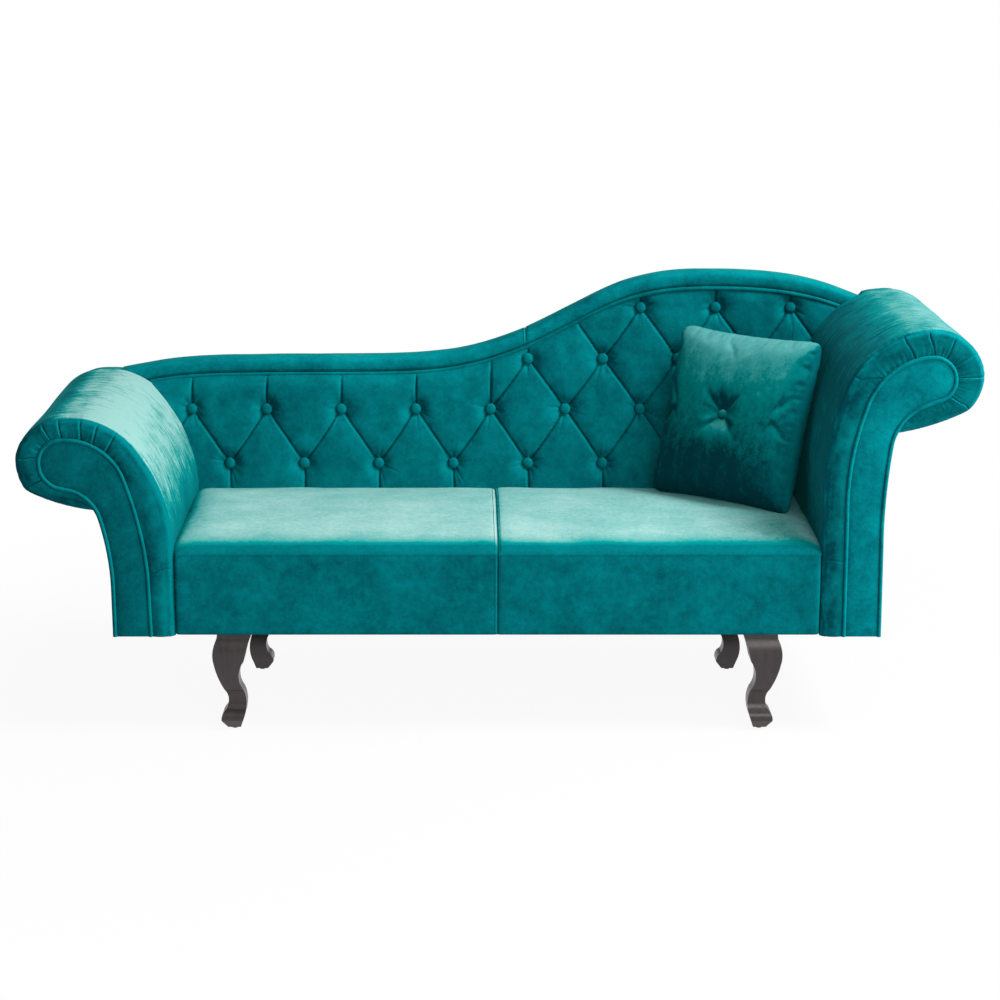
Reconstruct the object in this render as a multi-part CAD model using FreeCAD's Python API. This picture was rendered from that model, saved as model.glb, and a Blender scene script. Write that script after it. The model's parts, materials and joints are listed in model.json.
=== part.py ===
"""Buttoned chaise longue: two scroll arms of different height joined by a back whose top line rises in a curve.

Millimetres. +X runs along the seat to the sitter's left (right in a front view), +Y to the back, +Z up.
The origin is on the floor under the middle of the whole piece.
"""
import FreeCAD, Part
import math
import os
from FreeCAD import Vector

# Overall places
leg_height = 200.0          # floor to the underside of the upholstery
seat_width = 1257.0         # between the inner faces of the two arms
seat_front = -302.0         # front face of the seat border
seat_back_line = 190.0      # where the seat meets the buttoned back
arm_front = -306.0          # front of the arms' padding
back_plane_front = 244.0    # rear end of the arms and front of the back's rim
back_plane_rear = 312.0     # outer face of the back

# Cloth, piping and clearances
cloth = 2.0                 # velvet with its lining
piping_radius = 4.0
clearance = 0.3             # between soft pieces that could rub
edge_round = 14.0           # padded front edge of the arms
rim_round = 26.0            # padded edges of the back's rim

# Heights of the two arms and of the back
left_arm_top = 634.0
right_arm_top = 806.0
back_low_top = 659.0
back_high_top = 842.0
rim_height = 33.0           # band of cloth along the top of the back
rim_join = 66.0             # upright seam of the rim, from the middle
back_side_inset = 8.0       # the back's ends stand in from the arms' scrolls
back_side_wadding = 6.0
back_lean_run = 45.0        # how far the back leans over the rise below
back_lean_foot = 388.0
back_lean_rise = 392.0

# Seat
seat_edge_height = 377.0
seat_seam_drop = 10.0       # seam below the front edge
seat_rear_height = 384.0
seat_crown = 400.0
seat_side_crown = 388.0
seat_edge_round = 13.0
border_pad = 20.0           # padding in front of the front rail
deck_cloth = 1.5
dust_cloth = 1.0

# Timber
board = 18.0                # plywood boards of the arms
rail = 22.0                 # thickness of the beech rails
rail_height = 75.0
rail_foot = leg_height + 6.0
lining = 3.0                # hardboard bent round the arms' boards
arm_rail_height = 44.0
top_rail_height = 90.0      # shaped rail under the rim
stile_width = 50.0
block_side = 94.0
block_depth = 56.0
block_height = 45.0
strap_width = 50.0
strap = 2.0

# Legs
front_leg_x = 514.0
rear_leg_x = 504.0
front_leg_y = -255.0
rear_leg_y = 132.0
leg_top_half = 35.0
front_bolt_offset = 12.0    # the front legs' bolts stand behind the legs' middle
glide_radius = 6.5
glide_height = 4.0
leg_bolt_radius = 5.0
leg_bolt_length = 66.0
bolt_radius = 4.0
bolt_head_radius = 7.5
bolt_head = 5.0
washer_height = 1.5
bolt_gap = 0.4              # round a bolt in its hole

# Buttons and tufting of the back
button_radius = 12.0
button_height = 7.0
button_sink = 4.0           # a button's rim stands this far before the deepest point of its tuft
tuft_pitch = 79.3           # half the distance between the buttons of one row
tuft_origin = -10.0         # a button of the second row stands here
tuft_rows = (440.0, 555.0, 661.0, 769.0)
tuft_foot_row = 95.0        # the lowest folds run down towards this height
tuft_head_rise = 230.0      # the topmost folds run up as if the next row stood this much higher
tuft_depth = 26.0
tuft_pinch = 5.0            # half the width of the cloth drawn in at a button
tuft_backing = 36.0         # quilted wadding behind the crests
tuft_steps = 2              # sections between two button columns

# Pillow
pillow_side = 352.0
pillow_thickness = 112.0
pillow_waist = 9.0          # how far each side draws in at its middle
pillow_edge = 3.0
pillow_yaw = -43.0
pillow_lean = -17.0
pillow_x = 500.0
pillow_y = 48.0
pillow_dimple_radius = 52.0
pillow_dimple = 16.0
pillow_button_radius = 11.0
pillow_button_height = 6.0

half_seat = seat_width / 2.0
frame_front = back_plane_rear - cloth - rail    # front of the back's frame


def box(x0, x1, y0, y1, z0, z1):
    return Part.makeBox(x1 - x0, y1 - y0, z1 - z0, Vector(x0, y0, z0))


def mirrored_boxes(x0, x1, y0, y1, z0, z1):
    return [box(x0, x1, y0, y1, z0, z1), box(-x1, -x0, y0, y1, z0, z1)]


def group(solids):
    return Part.makeCompound(solids)


class Outline:
    """Closed outline in the XZ plane: a start point, then (end,) for a line or (middle, end) for an arc."""

    def __init__(self, start, segments):
        self.start = start
        self.segments = segments

    def placed(self, place):
        """The same outline with every point passed through place."""
        return Outline(place(self.start), [tuple(place(p) for p in s) for s in self.segments])

    def corners(self):
        return [self.start] + [s[-1] for s in self.segments]

    def tangents(self):
        """Direction of travel at the start, middle and end of each segment."""
        found = []
        here = self.start
        for segment in self.segments:
            end = segment[-1]
            if len(segment) == 1:
                way = unit(end[0] - here[0], end[1] - here[1])
                found.append((way, way, way))
            else:
                cx, cz = circle_centre(here, segment[0], end)
                turn = cross(here, segment[0], end)
                ways = []
                for point in (here, segment[0], end):
                    way = unit(-(point[1] - cz), point[0] - cx)
                    ways.append(way if turn > 0 else (-way[0], -way[1]))
                found.append(tuple(ways))
            here = end
        return found

    def grown(self, distance):
        """The outline moved outward by a distance, or inward by a negative one, point for point."""
        corners = self.corners()
        area = sum(p[0] * q[1] - q[0] * p[1] for p, q in zip(corners, corners[1:]))
        reach = distance if area > 0 else -distance
        ways = self.tangents()
        moved = []
        for i in range(len(self.segments)):
            before = ways[i - 1][2]
            after = ways[i][0]
            nx = before[1] + after[1]
            nz = -before[0] - after[0]
            scale = reach / (1.0 + before[0] * after[0] + before[1] * after[1])
            moved.append((corners[i][0] + nx * scale, corners[i][1] + nz * scale))
        moved.append(moved[0])
        segments = []
        for i, segment in enumerate(self.segments):
            if len(segment) == 1:
                segments.append((moved[i + 1],))
            else:
                way = ways[i][1]
                middle = (segment[0][0] + way[1] * reach, segment[0][1] - way[0] * reach)
                segments.append((middle, moved[i + 1]))
        return Outline(moved[0], segments)

    def wire(self, y=0.0):
        edges = []
        here = self.start
        for segment in self.segments:
            ends = [Vector(p[0], y, p[1]) for p in (here,) + segment]
            if len(ends) == 2:
                edges.append(Part.LineSegment(*ends).toShape())
            else:
                edges.append(Part.Arc(*ends).toShape())
            here = segment[-1]
        return Part.Wire(edges)

    def solid(self, y0, y1):
        """The outline carried along Y."""
        return Part.Face(self.wire(y0)).extrude(Vector(0, y1 - y0, 0))


def unit(x, z):
    length = math.hypot(x, z)
    return (x / length, z / length)


def cross(a, b, c):
    return (b[0] - a[0]) * (c[1] - a[1]) - (b[1] - a[1]) * (c[0] - a[0])


def circle_centre(a, b, c):
    """Centre of the circle through three points."""
    d = 2.0 * cross(a, b, c)
    bx, bz = b[0] - a[0], b[1] - a[1]
    cx, cz = c[0] - a[0], c[1] - a[1]
    x = (cz * (bx * bx + bz * bz) - bz * (cx * cx + cz * cz)) / d
    z = (bx * (cx * cx + cz * cz) - cx * (bx * bx + bz * bz)) / d
    return (a[0] + x, a[1] + z)


def one_solid(shape):
    """The largest solid of a cut, without split faces."""
    solid = max(shape.Solids, key=lambda s: s.Volume)
    return solid.removeSplitter()


class Arm:
    """One scroll arm. Its outlines are drawn as (outward, drop): outward from the seat's side, down from the top."""

    def __init__(self, name, side, top, face, pad):
        self.name = name
        self.side = side
        self.top = top
        self.face = face.placed(self.place)
        self.pad = pad.placed(self.place)

    def place(self, point):
        outward, drop = point
        return (self.side * (half_seat + outward), self.top - drop)

    def span(self, near, far):
        """X limits of a stretch given as two distances outward from the seat's side."""
        return sorted((self.side * (half_seat + near), self.side * (half_seat + far)))


left_foot = left_arm_top - leg_height
right_foot = right_arm_top - leg_height
below_foot = 30.0           # the padding's section is drawn this far below the foot and cut level
pad_turn = 84.0             # the padding's section closes inside the stem, this far from the seat

left_arm = Arm(
    "left", -1, left_arm_top,
    Outline((44, left_foot), [
        ((48, 309),), ((66, 197), (93, 110)), ((132, 62), (192, 39)), ((211, 39),),
        ((245, 53), (259, 86)), ((250, 119), (221, 141)), ((196, 146),),
        ((163, 166), (144, 199)), ((129, 266), (123, 339)), ((122, left_foot),), ((44, left_foot),)]),
    Outline((0, left_foot + below_foot), [
        ((1, 264),), ((18, 156), (59, 77)), ((107, 26), (172, 0)), ((204, 0),),
        ((272, 25), (303, 80)), ((299, 114), (286, 144)), ((220, 171), (149, 185)),
        ((pad_turn, 200),), ((pad_turn, left_foot + below_foot),), ((0, left_foot + below_foot),)]),
)
right_arm = Arm(
    "right", 1, right_arm_top,
    Outline((43, right_foot), [
        ((42, 366),), ((52, 229), (73, 151)), ((118, 82), (193, 50)), ((203, 50),),
        ((235, 64), (249, 97)), ((238, 127), (210, 143)), ((195, 149),),
        ((158, 172), (131, 223)), ((121, 315), (118.5, 431)), ((120, right_foot),), ((43, right_foot),)]),
    Outline((0, right_foot + below_foot), [
        ((1, 366),), ((9, 226), (42, 104)), ((94, 40), (165, 4)), ((208, 0),),
        ((272, 28), (303, 92)), ((295, 130), (276, 159)), ((212, 186), (139, 204)),
        ((pad_turn, 220),), ((pad_turn, right_foot + below_foot),), ((0, right_foot + below_foot),)]),
)


def rounded_front(outline, start, end, radius):
    """An outline carried back from start to end, its front edge rounded in three flats, cut level at the foot."""
    wires = []
    for turn in (0.0, 30.0, 60.0, 90.0):
        angle = math.radians(turn)
        inset = radius * (1.0 - math.sin(angle))
        wires.append(outline.grown(-inset).wire(start + radius * (1.0 - math.cos(angle))))
    nose = Part.makeLoft(wires, True, True)
    solid = nose.fuse(outline.solid(start + radius, end))
    return one_solid(solid.cut(box(-1200, 1200, -400, 400, 0, leg_height)))


def arm_pieces(arm):
    """Boards, lining, rails, foam, covers, facing panel and piping of one arm."""
    pieces = {}
    name = arm.name
    board_y = arm_front + 6.0
    core = arm.face.solid(arm_front - 20.0, back_plane_front + 1.0)
    boards = arm.face.grown(-lining)
    pieces[name + "_arm_front_board"] = boards.solid(board_y, board_y + board)
    pieces[name + "_arm_rear_board"] = boards.solid(back_plane_front - board, back_plane_front)

    shell = arm.face.solid(board_y, back_plane_front).cut(boards.solid(board_y - 1.0, back_plane_front + 1.0))
    foot_cut = box(-1200, 1200, -400, 400, leg_height - 1.0, rail_foot + rail_height)
    pieces[name + "_arm_lining"] = one_solid(shell.cut(foot_cut))

    x0, x1 = arm.span(cloth + 1.2, 46.0)
    foot_rail = box(x0, x1, board_y + board, back_plane_front - board, rail_foot, rail_foot + rail_height)
    x0, x1 = arm.span(-cloth, 46.0)
    foot_room = box(x0, x1, board_y + board, back_plane_front - board, rail_foot, rail_foot + rail_height)
    rails = [drilled(foot_rail, arm_bolt_spots(arm.side), bolt_radius + bolt_gap, Vector(1, 0, 0))]
    for outward, middle in ((62.0, rail_foot + rail_height / 2.0), (200.0, arm.top - 96.0)):
        x0, x1 = arm.span(outward, outward + rail)
        z0 = middle - arm_rail_height / 2.0
        rails.append(box(x0, x1, board_y + board, back_plane_front - board, z0, z0 + arm_rail_height))
    pieces[name + "_arm_rails"] = group(rails)

    rear = back_plane_front - clearance
    padded = rounded_front(arm.pad, arm_front, rear, edge_round)
    inner = rounded_front(arm.pad.grown(-cloth), arm_front + cloth, rear, edge_round - cloth)
    pieces[name + "_arm_foam"] = one_solid(inner.cut(core).cut(foot_room))
    cover = one_solid(padded.cut(inner).cut(core))
    pieces[name + "_arm_inside_cover"] = drilled(
        cover, arm_bolt_spots(arm.side), bolt_radius + bolt_gap, Vector(1, 0, 0))

    x0, x1 = arm.span(96.0, 400.0)
    outer_side = box(x0, x1, -400, 400, leg_height, arm.top)
    wrap = arm.face.grown(cloth).solid(board_y, rear).cut(core).common(outer_side)
    pieces[name + "_arm_outside_cover"] = one_solid(wrap.cut(arm.pad.solid(arm_front - 20.0, back_plane_front + 1.0)))

    panel = arm.face.grown(-2.0 * piping_radius)
    pieces[name + "_arm_facing"] = panel.solid(arm_front - 3.0, board_y)
    ring = arm.face.solid(arm_front - 6.0, board_y)
    pieces[name + "_arm_piping"] = ring.cut(panel.solid(arm_front - 10.0, board_y + 1.0))
    return pieces


def drilled(solid, spots, radius, way):
    """The solid with a round hole through it at each spot."""
    reach = 400.0
    for spot in spots:
        start = Vector(spot) - way * reach
        solid = solid.cut(Part.makeCylinder(radius, 2.0 * reach, start, way))
    return solid


def arm_bolt_spots(side):
    return [Vector(side * half_seat, y, rail_foot + rail_height / 2.0) for y in (-180.0, 130.0)]


def back_bolt_spots():
    return [Vector(x, frame_front, rail_foot + rail_height / 2.0) for x in (-530.0, -200.0, 200.0, 530.0)]


def bolt(spot, way, grip):
    """A hexagon bolt with a washer, its head before the spot by half the grip."""
    shank = Part.makeCylinder(bolt_radius, grip)
    washer = Part.makeCylinder(bolt_head_radius + 2.0, washer_height, Vector(0, 0, -washer_height))
    corners = [Vector(bolt_head_radius * math.cos(math.radians(60 * i)),
                      bolt_head_radius * math.sin(math.radians(60 * i)), -washer_height) for i in range(7)]
    head = Part.Face(Part.makePolygon(corners)).extrude(Vector(0, 0, -bolt_head))
    whole = shank.fuse(washer).fuse(head).removeSplitter()
    whole.Placement = FreeCAD.Placement(Vector(spot) - way * (grip / 2.0), FreeCAD.Rotation(Vector(0, 0, 1), way))
    return whole


class LegSpot:
    """Where one leg stands, and which way its toe points."""

    def __init__(self, name, x, y, toe_x, toe_y, bolt_offset):
        self.name = name
        self.x = x
        self.y = y
        self.toe_x = toe_x
        self.toe_y = toe_y
        self.bolt = Vector(x, y + bolt_offset, 0)


leg_spots = (
    LegSpot("front_left", -front_leg_x, front_leg_y, -1, -1, front_bolt_offset),
    LegSpot("front_right", front_leg_x, front_leg_y, 1, -1, front_bolt_offset),
    LegSpot("rear_left", -rear_leg_x, rear_leg_y, 1, 1, 0.0),
    LegSpot("rear_right", rear_leg_x, rear_leg_y, -1, 1, 0.0),
)

def leg_outline():
    """One face of a leg, toe side positive, from the inner corner of its top round by the foot."""
    def at(side, share):
        return (side, share * leg_height)
    return Outline((-leg_top_half, rail_foot), [
        (at(-22, 0.86), at(-16, 0.73)), (at(-5, 0.56), at(-13, 0.41)), (at(-18, 0.29), at(-12, 0.11)),
        ((-6, glide_height),), ((19, glide_height),), (at(31, 0.10),), (at(30, 0.15), at(22, 0.21)),
        (at(17, 0.31), at(24, 0.41)), (at(36, 0.56), at(43, 0.70)), (at(45, 0.80), at(leg_top_half + 2, 0.95)),
        ((leg_top_half, rail_foot),), ((-leg_top_half, rail_foot),)])


def leg(spot):
    """A square-section leg: its profile cut through from the front and again from the side."""
    reach = 70.0
    outline = leg_outline()
    front = outline.placed(lambda p: (spot.toe_x * p[0], p[1])).solid(-reach, reach)
    side = outline.placed(lambda p: (-spot.toe_y * p[0], p[1])).solid(-reach, reach)
    side.rotate(Vector(0, 0, 0), Vector(0, 0, 1), -90)
    whole = front.common(side).removeSplitter()
    whole.translate(Vector(spot.x, spot.y, 0))
    return drilled_down(whole, spot.bolt, rail_foot - leg_bolt_length / 2.0)


def drilled_down(solid, spot, depth_z):
    """A blind hole from above, down to a height."""
    hole = Part.makeCylinder(leg_bolt_radius + bolt_gap, 300.0, Vector(spot.x, spot.y, depth_z - bolt_gap))
    return solid.cut(hole)


def glide(spot):
    """A round nylon glide under the middle of a leg's sole."""
    middle = 6.5
    at = Vector(spot.x + spot.toe_x * middle, spot.y + spot.toe_y * middle, 0)
    disc = Part.makeCylinder(glide_radius, glide_height, at)
    lower = [e for e in disc.Edges if abs(e.BoundBox.ZMax) < 0.01]
    return disc.makeChamfer(1.0, lower)


def base_pieces():
    """Legs, glides, blocks, bolts and the rails of the seat's frame."""
    pieces = {}
    z0, z1 = rail_foot, rail_foot + rail_height
    inner = half_seat - cloth
    rail_y0 = seat_front + cloth + border_pad
    rail_y1 = frame_front
    side_y0, side_y1 = rail_y0 + rail, rail_y1 - rail
    blocks = []
    hanger_bolts = []
    for spot in leg_spots:
        pieces[spot.name + "_leg"] = leg(spot)
        y0 = side_y0 if spot.y < 0 else spot.y - block_depth / 2.0
        half = block_side / 2.0
        block = box(spot.x - half, spot.x + half, y0, y0 + block_depth, z0, z0 + block_height)
        blocks.append(drilled(block, [spot.bolt], leg_bolt_radius + bolt_gap, Vector(0, 0, 1)))
        bolt_foot = Vector(spot.bolt.x, spot.bolt.y, z0 - leg_bolt_length / 2.0)
        hanger_bolts.append(Part.makeCylinder(leg_bolt_radius, leg_bolt_length, bolt_foot))
    pieces["foot_glides"] = group([glide(spot) for spot in leg_spots])
    pieces["leg_blocks"] = group(blocks)
    pieces["leg_hanger_bolts"] = group(hanger_bolts)
    pieces["front_rail"] = box(-inner, inner, rail_y0, rail_y0 + rail, z0, z1)
    rear = box(-inner, inner, rail_y1 - rail, rail_y1, z0, z1)
    pieces["rear_rail"] = drilled(rear, back_bolt_spots(), bolt_radius + bolt_gap, Vector(0, 1, 0))
    sides = mirrored_boxes(inner - rail, inner, side_y0, side_y1, z0, z1)
    spots = arm_bolt_spots(-1) + arm_bolt_spots(1)
    pieces["side_rails"] = group([drilled(s, spots, bolt_radius + bolt_gap, Vector(1, 0, 0)) for s in sides])
    cross_x = front_leg_x + block_side / 2.0
    crosses = mirrored_boxes(cross_x, cross_x + rail, side_y0, side_y1, z0, z1)
    crosses.append(box(-rail / 2.0, rail / 2.0, side_y0, side_y1, z0, z1))
    pieces["cross_rails"] = group(crosses)
    grip = rail + 34.0
    arm_bolts = []
    for side in (-1, 1):
        for spot in arm_bolt_spots(side):
            way = Vector(side, 0, 0)
            arm_bolts.append(bolt(spot + way * (grip / 2.0 - rail - cloth), way, grip))
    pieces["arm_bolts"] = group(arm_bolts)
    back_grip = 2.0 * rail - 2.0
    back_bolts = [bolt(s - Vector(0, 1.0, 0), Vector(0, 1, 0), back_grip) for s in back_bolt_spots()]
    pieces["back_bolts"] = group(back_bolts)
    return pieces


def seat_section(x, crown, trim, foot):
    """Closed section of the seat across X, drawn trim inside the cloth's face."""
    front = seat_front + trim
    edge = seat_edge_height - trim
    rear = seat_rear_height - trim
    back = frame_front - rail - 2.0 * clearance
    round_ = seat_edge_round - trim
    slant = round_ * (1.0 - math.cos(math.radians(45)))
    middle_y = (front + round_ + seat_back_line) / 2.0
    points = {
        "foot": Vector(x, front, foot), "edge_low": Vector(x, front, edge - round_),
        "edge_middle": Vector(x, front + slant, edge - slant), "edge_high": Vector(x, front + round_, edge),
        "crown": Vector(x, middle_y, crown - trim), "line": Vector(x, seat_back_line, rear),
        "back": Vector(x, back, rear), "back_foot": Vector(x, back, foot),
    }
    p = points
    return Part.Wire([
        Part.LineSegment(p["foot"], p["edge_low"]).toShape(),
        Part.Arc(p["edge_low"], p["edge_middle"], p["edge_high"]).toShape(),
        Part.Arc(p["edge_high"], p["crown"], p["line"]).toShape(),
        Part.LineSegment(p["line"], p["back"]).toShape(),
        Part.LineSegment(p["back"], p["back_foot"]).toShape(),
        Part.LineSegment(p["back_foot"], p["foot"]).toShape(),
    ])


def seat_form(trim, foot):
    """The crowned seat, lower along the arms."""
    half = half_seat - clearance - trim
    shoulder = 0.86 * half
    sections = []
    for x, crown in ((-half, seat_side_crown), (-shoulder, seat_crown - 3.0), (0.0, seat_crown),
                     (shoulder, seat_crown - 3.0), (half, seat_side_crown)):
        sections.append(seat_section(x, crown, trim, foot))
    return Part.makeLoft(sections, True, False)


def seat_pieces():
    """Webbing, deck cloth, foam, border padding and covers of the seat, and the dust cover below."""
    pieces = {}
    top = rail_foot + rail_height
    rail_y0 = seat_front + cloth + border_pad
    inner = half_seat - cloth
    straps = []
    count = 13
    for i in range(count):
        x = (i - (count - 1) / 2.0) * (2.0 * inner - strap_width) / (count - 1) * 0.97
        straps.append(box(x - strap_width / 2.0, x + strap_width / 2.0, rail_y0, frame_front, top, top + strap))
    for i in range(4):
        y = rail_y0 + 60.0 + i * 125.0
        straps.append(box(-inner, inner, y, y + strap_width, top + strap, top + 2.0 * strap))
    pieces["seat_webbing"] = group(straps)
    deck_z = top + 2.0 * strap
    pieces["seat_deck_cloth"] = box(-inner, inner, rail_y0, frame_front - rail - 1.0, deck_z, deck_z + deck_cloth)

    outer = seat_form(0.0, leg_height)
    filled = seat_form(cloth, leg_height - 20.0)
    seam = seat_edge_height - seat_seam_drop
    far = 1200.0
    above_deck = box(-far, far, rail_y0, 400, deck_z + deck_cloth, 500)
    above_seam = box(-far, far, -400, rail_y0, seam, 500)
    pieces["seat_foam"] = one_solid(filled.common(above_deck.fuse(above_seam)))
    border = box(-far, far, -400, rail_y0, rail_foot, seam)
    pieces["seat_border_padding"] = one_solid(filled.common(border))
    skin = outer.cut(filled)
    half_gap = clearance / 2.0
    pieces["left_seat_cover"] = one_solid(skin.common(box(-far, -half_gap, -400, 400, seam, 500)))
    pieces["right_seat_cover"] = one_solid(skin.common(box(half_gap, far, -400, 400, seam, 500)))
    pieces["seat_border_cover"] = one_solid(skin.common(box(-far, far, -400, rail_y0 - border_pad, leg_height, seam)))

    dust = box(-inner, inner, rail_y0, frame_front - 1.0, rail_foot - dust_cloth, rail_foot)
    for spot in leg_spots:
        half = leg_top_half + 2.5
        dust = dust.cut(box(spot.x - half, spot.x + half, spot.y - half, spot.y + half, 0, 300))
    pieces["dust_cover"] = one_solid(dust)
    return pieces


# Rise of the back's top line between its low and high levels, from left to right
back_rise = ((-682, -0.05), (-545, -0.01), (-331, 0.0), (-160, 0.02), (-75, 0.075), (11, 0.2), (96, 0.395),
             (181, 0.635), (265, 0.847), (350, 0.965), (453, 1.0), (563, 0.98), (690, 0.86))
back_left_end = -half_seat - 164.0
back_right_end = half_seat + 144.0


def back_curve_points():
    """Points of the back's top line, from the left roll to the right roll."""
    points = [(back_left_end, left_arm_top - 3.0)]
    for x, share in back_rise:
        points.append((x, back_low_top + share * (back_high_top - back_low_top)))
    points.append((back_right_end, right_arm_top - 19.0))
    return points


def back_outline(drop):
    """Everything under the back's top line lowered by a drop: arcs through each three points, closed at the foot."""
    points = [(x, z - drop) for x, z in back_curve_points()]
    segments = [(points[0],)]
    for i in range(1, len(points), 2):
        segments.append((points[i], points[i + 1]))
    segments.append(((back_right_end, leg_height),))
    segments.append(((back_left_end, leg_height),))
    return Outline((back_left_end, leg_height), segments)


def under_curve(drop, y0, y1):
    return back_outline(drop).solid(y0, y1)


def crest(drop, y0, y1, radius):
    """The same between two planes, with its front and rear edges rounded in three flats."""
    outline = back_outline(drop)
    nose = []
    for turn in (0.0, 30.0, 60.0, 90.0):
        angle = math.radians(turn)
        nose.append((radius * (1.0 - math.sin(angle)), radius * (1.0 - math.cos(angle))))
    wires = [outline.grown(-inset).wire(y0 + depth) for inset, depth in nose]
    wires += [outline.grown(-inset).wire(y1 - depth) for inset, depth in reversed(nose)]
    return Part.makeLoft(wires, True, True)


def lean(z):
    """Y of the crests of the tufted back at a height."""
    return seat_back_line + back_lean_run * (z - back_lean_foot) / back_lean_rise


def curve_height(x):
    """Height of the back's top line at a place, by straight runs between its points."""
    points = back_curve_points()
    for (xa, za), (xb, zb) in zip(points, points[1:]):
        if xa <= x <= xb:
            return za + (zb - za) * (x - xa) / (xb - xa)
    return 0.0


def tuft_height(row, x):
    """Height of a row's button in a column, lifted or lowered where the row has no button there."""
    if row < 0:
        return tuft_foot_row + (row + 1) * 115.0
    step = tuft_rows[-1] - tuft_rows[-2]
    height = tuft_rows[row] if row < len(tuft_rows) else tuft_rows[-1] + step * (row - len(tuft_rows) + 1)
    if row >= len(tuft_rows) or curve_height(x) - rim_height < height + button_radius:
        height += tuft_head_rise
    return height


def tuft_section(x, share, even_x, odd_x):
    """Section of the tufted back at x; share runs from a column of odd rows (0) to one of even rows (1)."""
    folds = []
    for odd_row, even_row in ((-1, -2), (-1, 0), (1, 0), (1, 2), (3, 2), (3, 4), (5, 4)):
        from_z = tuft_height(odd_row, even_x)
        to_z = tuft_height(even_row, odd_x)
        lean_in = tuft_pinch if even_row > odd_row else -tuft_pinch
        folds.append(from_z + (to_z - from_z) * share + lean_in * (1.0 - 2.0 * share))
    fold_depth = tuft_depth * (share * share + (1.0 - share) ** 2)
    edges = []
    for i in range(len(folds) - 1):
        low, high = folds[i], folds[i + 1]
        drawn = share if i % 2 else 1.0 - share
        crest_depth = min(tuft_depth * drawn * drawn, fold_depth - 0.4)
        middle = (low + high) / 2.0
        edges.append(Part.Arc(
            Vector(x, lean(low) + fold_depth, low), Vector(x, lean(middle) + crest_depth, middle),
            Vector(x, lean(high) + fold_depth, high)).toShape())
    low, high = folds[0], folds[-1]
    corners = [Vector(x, lean(high) + fold_depth, high), Vector(x, lean(high) + tuft_backing, high),
               Vector(x, lean(low) + tuft_backing, low), Vector(x, lean(low) + fold_depth, low)]
    for a, b in zip(corners, corners[1:]):
        edges.append(Part.LineSegment(a, b).toShape())
    return Part.Wire(edges)


def tufted_slab():
    """The buttoned face with its folds, wider than the back, before it is cut to its outline."""
    first = int(math.floor((-half_seat - 60.0 - tuft_origin) / tuft_pitch))
    last = int(math.ceil((half_seat + 150.0 - tuft_origin) / tuft_pitch))
    sections = []
    for column in range(first, last):
        for step in range(tuft_steps):
            part = step / tuft_steps
            x = tuft_origin + (column + part) * tuft_pitch
            odd_start = column % 2 == 0
            share = part if odd_start else 1.0 - part
            near = tuft_origin + column * tuft_pitch
            far = near + tuft_pitch
            sections.append(tuft_section(x, share, near if odd_start else far, far if odd_start else near))
    return Part.makeLoft(sections, True, True)


def button_spots():
    """(x, z) of every button between the arms and under the rim."""
    spots = []
    for row, z in enumerate(tuft_rows):
        for column in range(-10, 11):
            x = tuft_origin + column * tuft_pitch
            if (column + row) % 2 == 0 or tuft_height(row, x) > z:
                continue
            if -half_seat - tuft_side_limit(left_arm_top, z) < x < half_seat + tuft_side_limit(right_arm_top, z):
                spots.append((x, z))
    return spots


def tuft_side_limit(top, z):
    """How far beyond the seat's side a button may stand at a height, where the arm's roll turns away."""
    return 18.0 if top - z < 100.0 else -button_radius * 0.6


def domed_disc(radius, height):
    """A covered button on the plane Y = 0: a round rim, then a dome in two flats, all cut on a many-sided plan."""
    sides = 16
    wires = []
    for share, rise in ((1.0, 0.0), (1.0, 0.35), (0.75, 0.8), (0.3, 1.0)):
        ring = []
        for i in range(sides + 1):
            angle = 2.0 * math.pi * i / sides
            ring.append(Vector(share * radius * math.cos(angle), -rise * height, share * radius * math.sin(angle)))
        wires.append(Part.makePolygon(ring))
    return Part.makeLoft(wires, True, True)


def button(x, z):
    """One button of the back, on the cloth it draws in."""
    solid = domed_disc(button_radius, button_height)
    solid.translate(Vector(x, lean(z) + tuft_depth - button_sink, z))
    return solid


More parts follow.
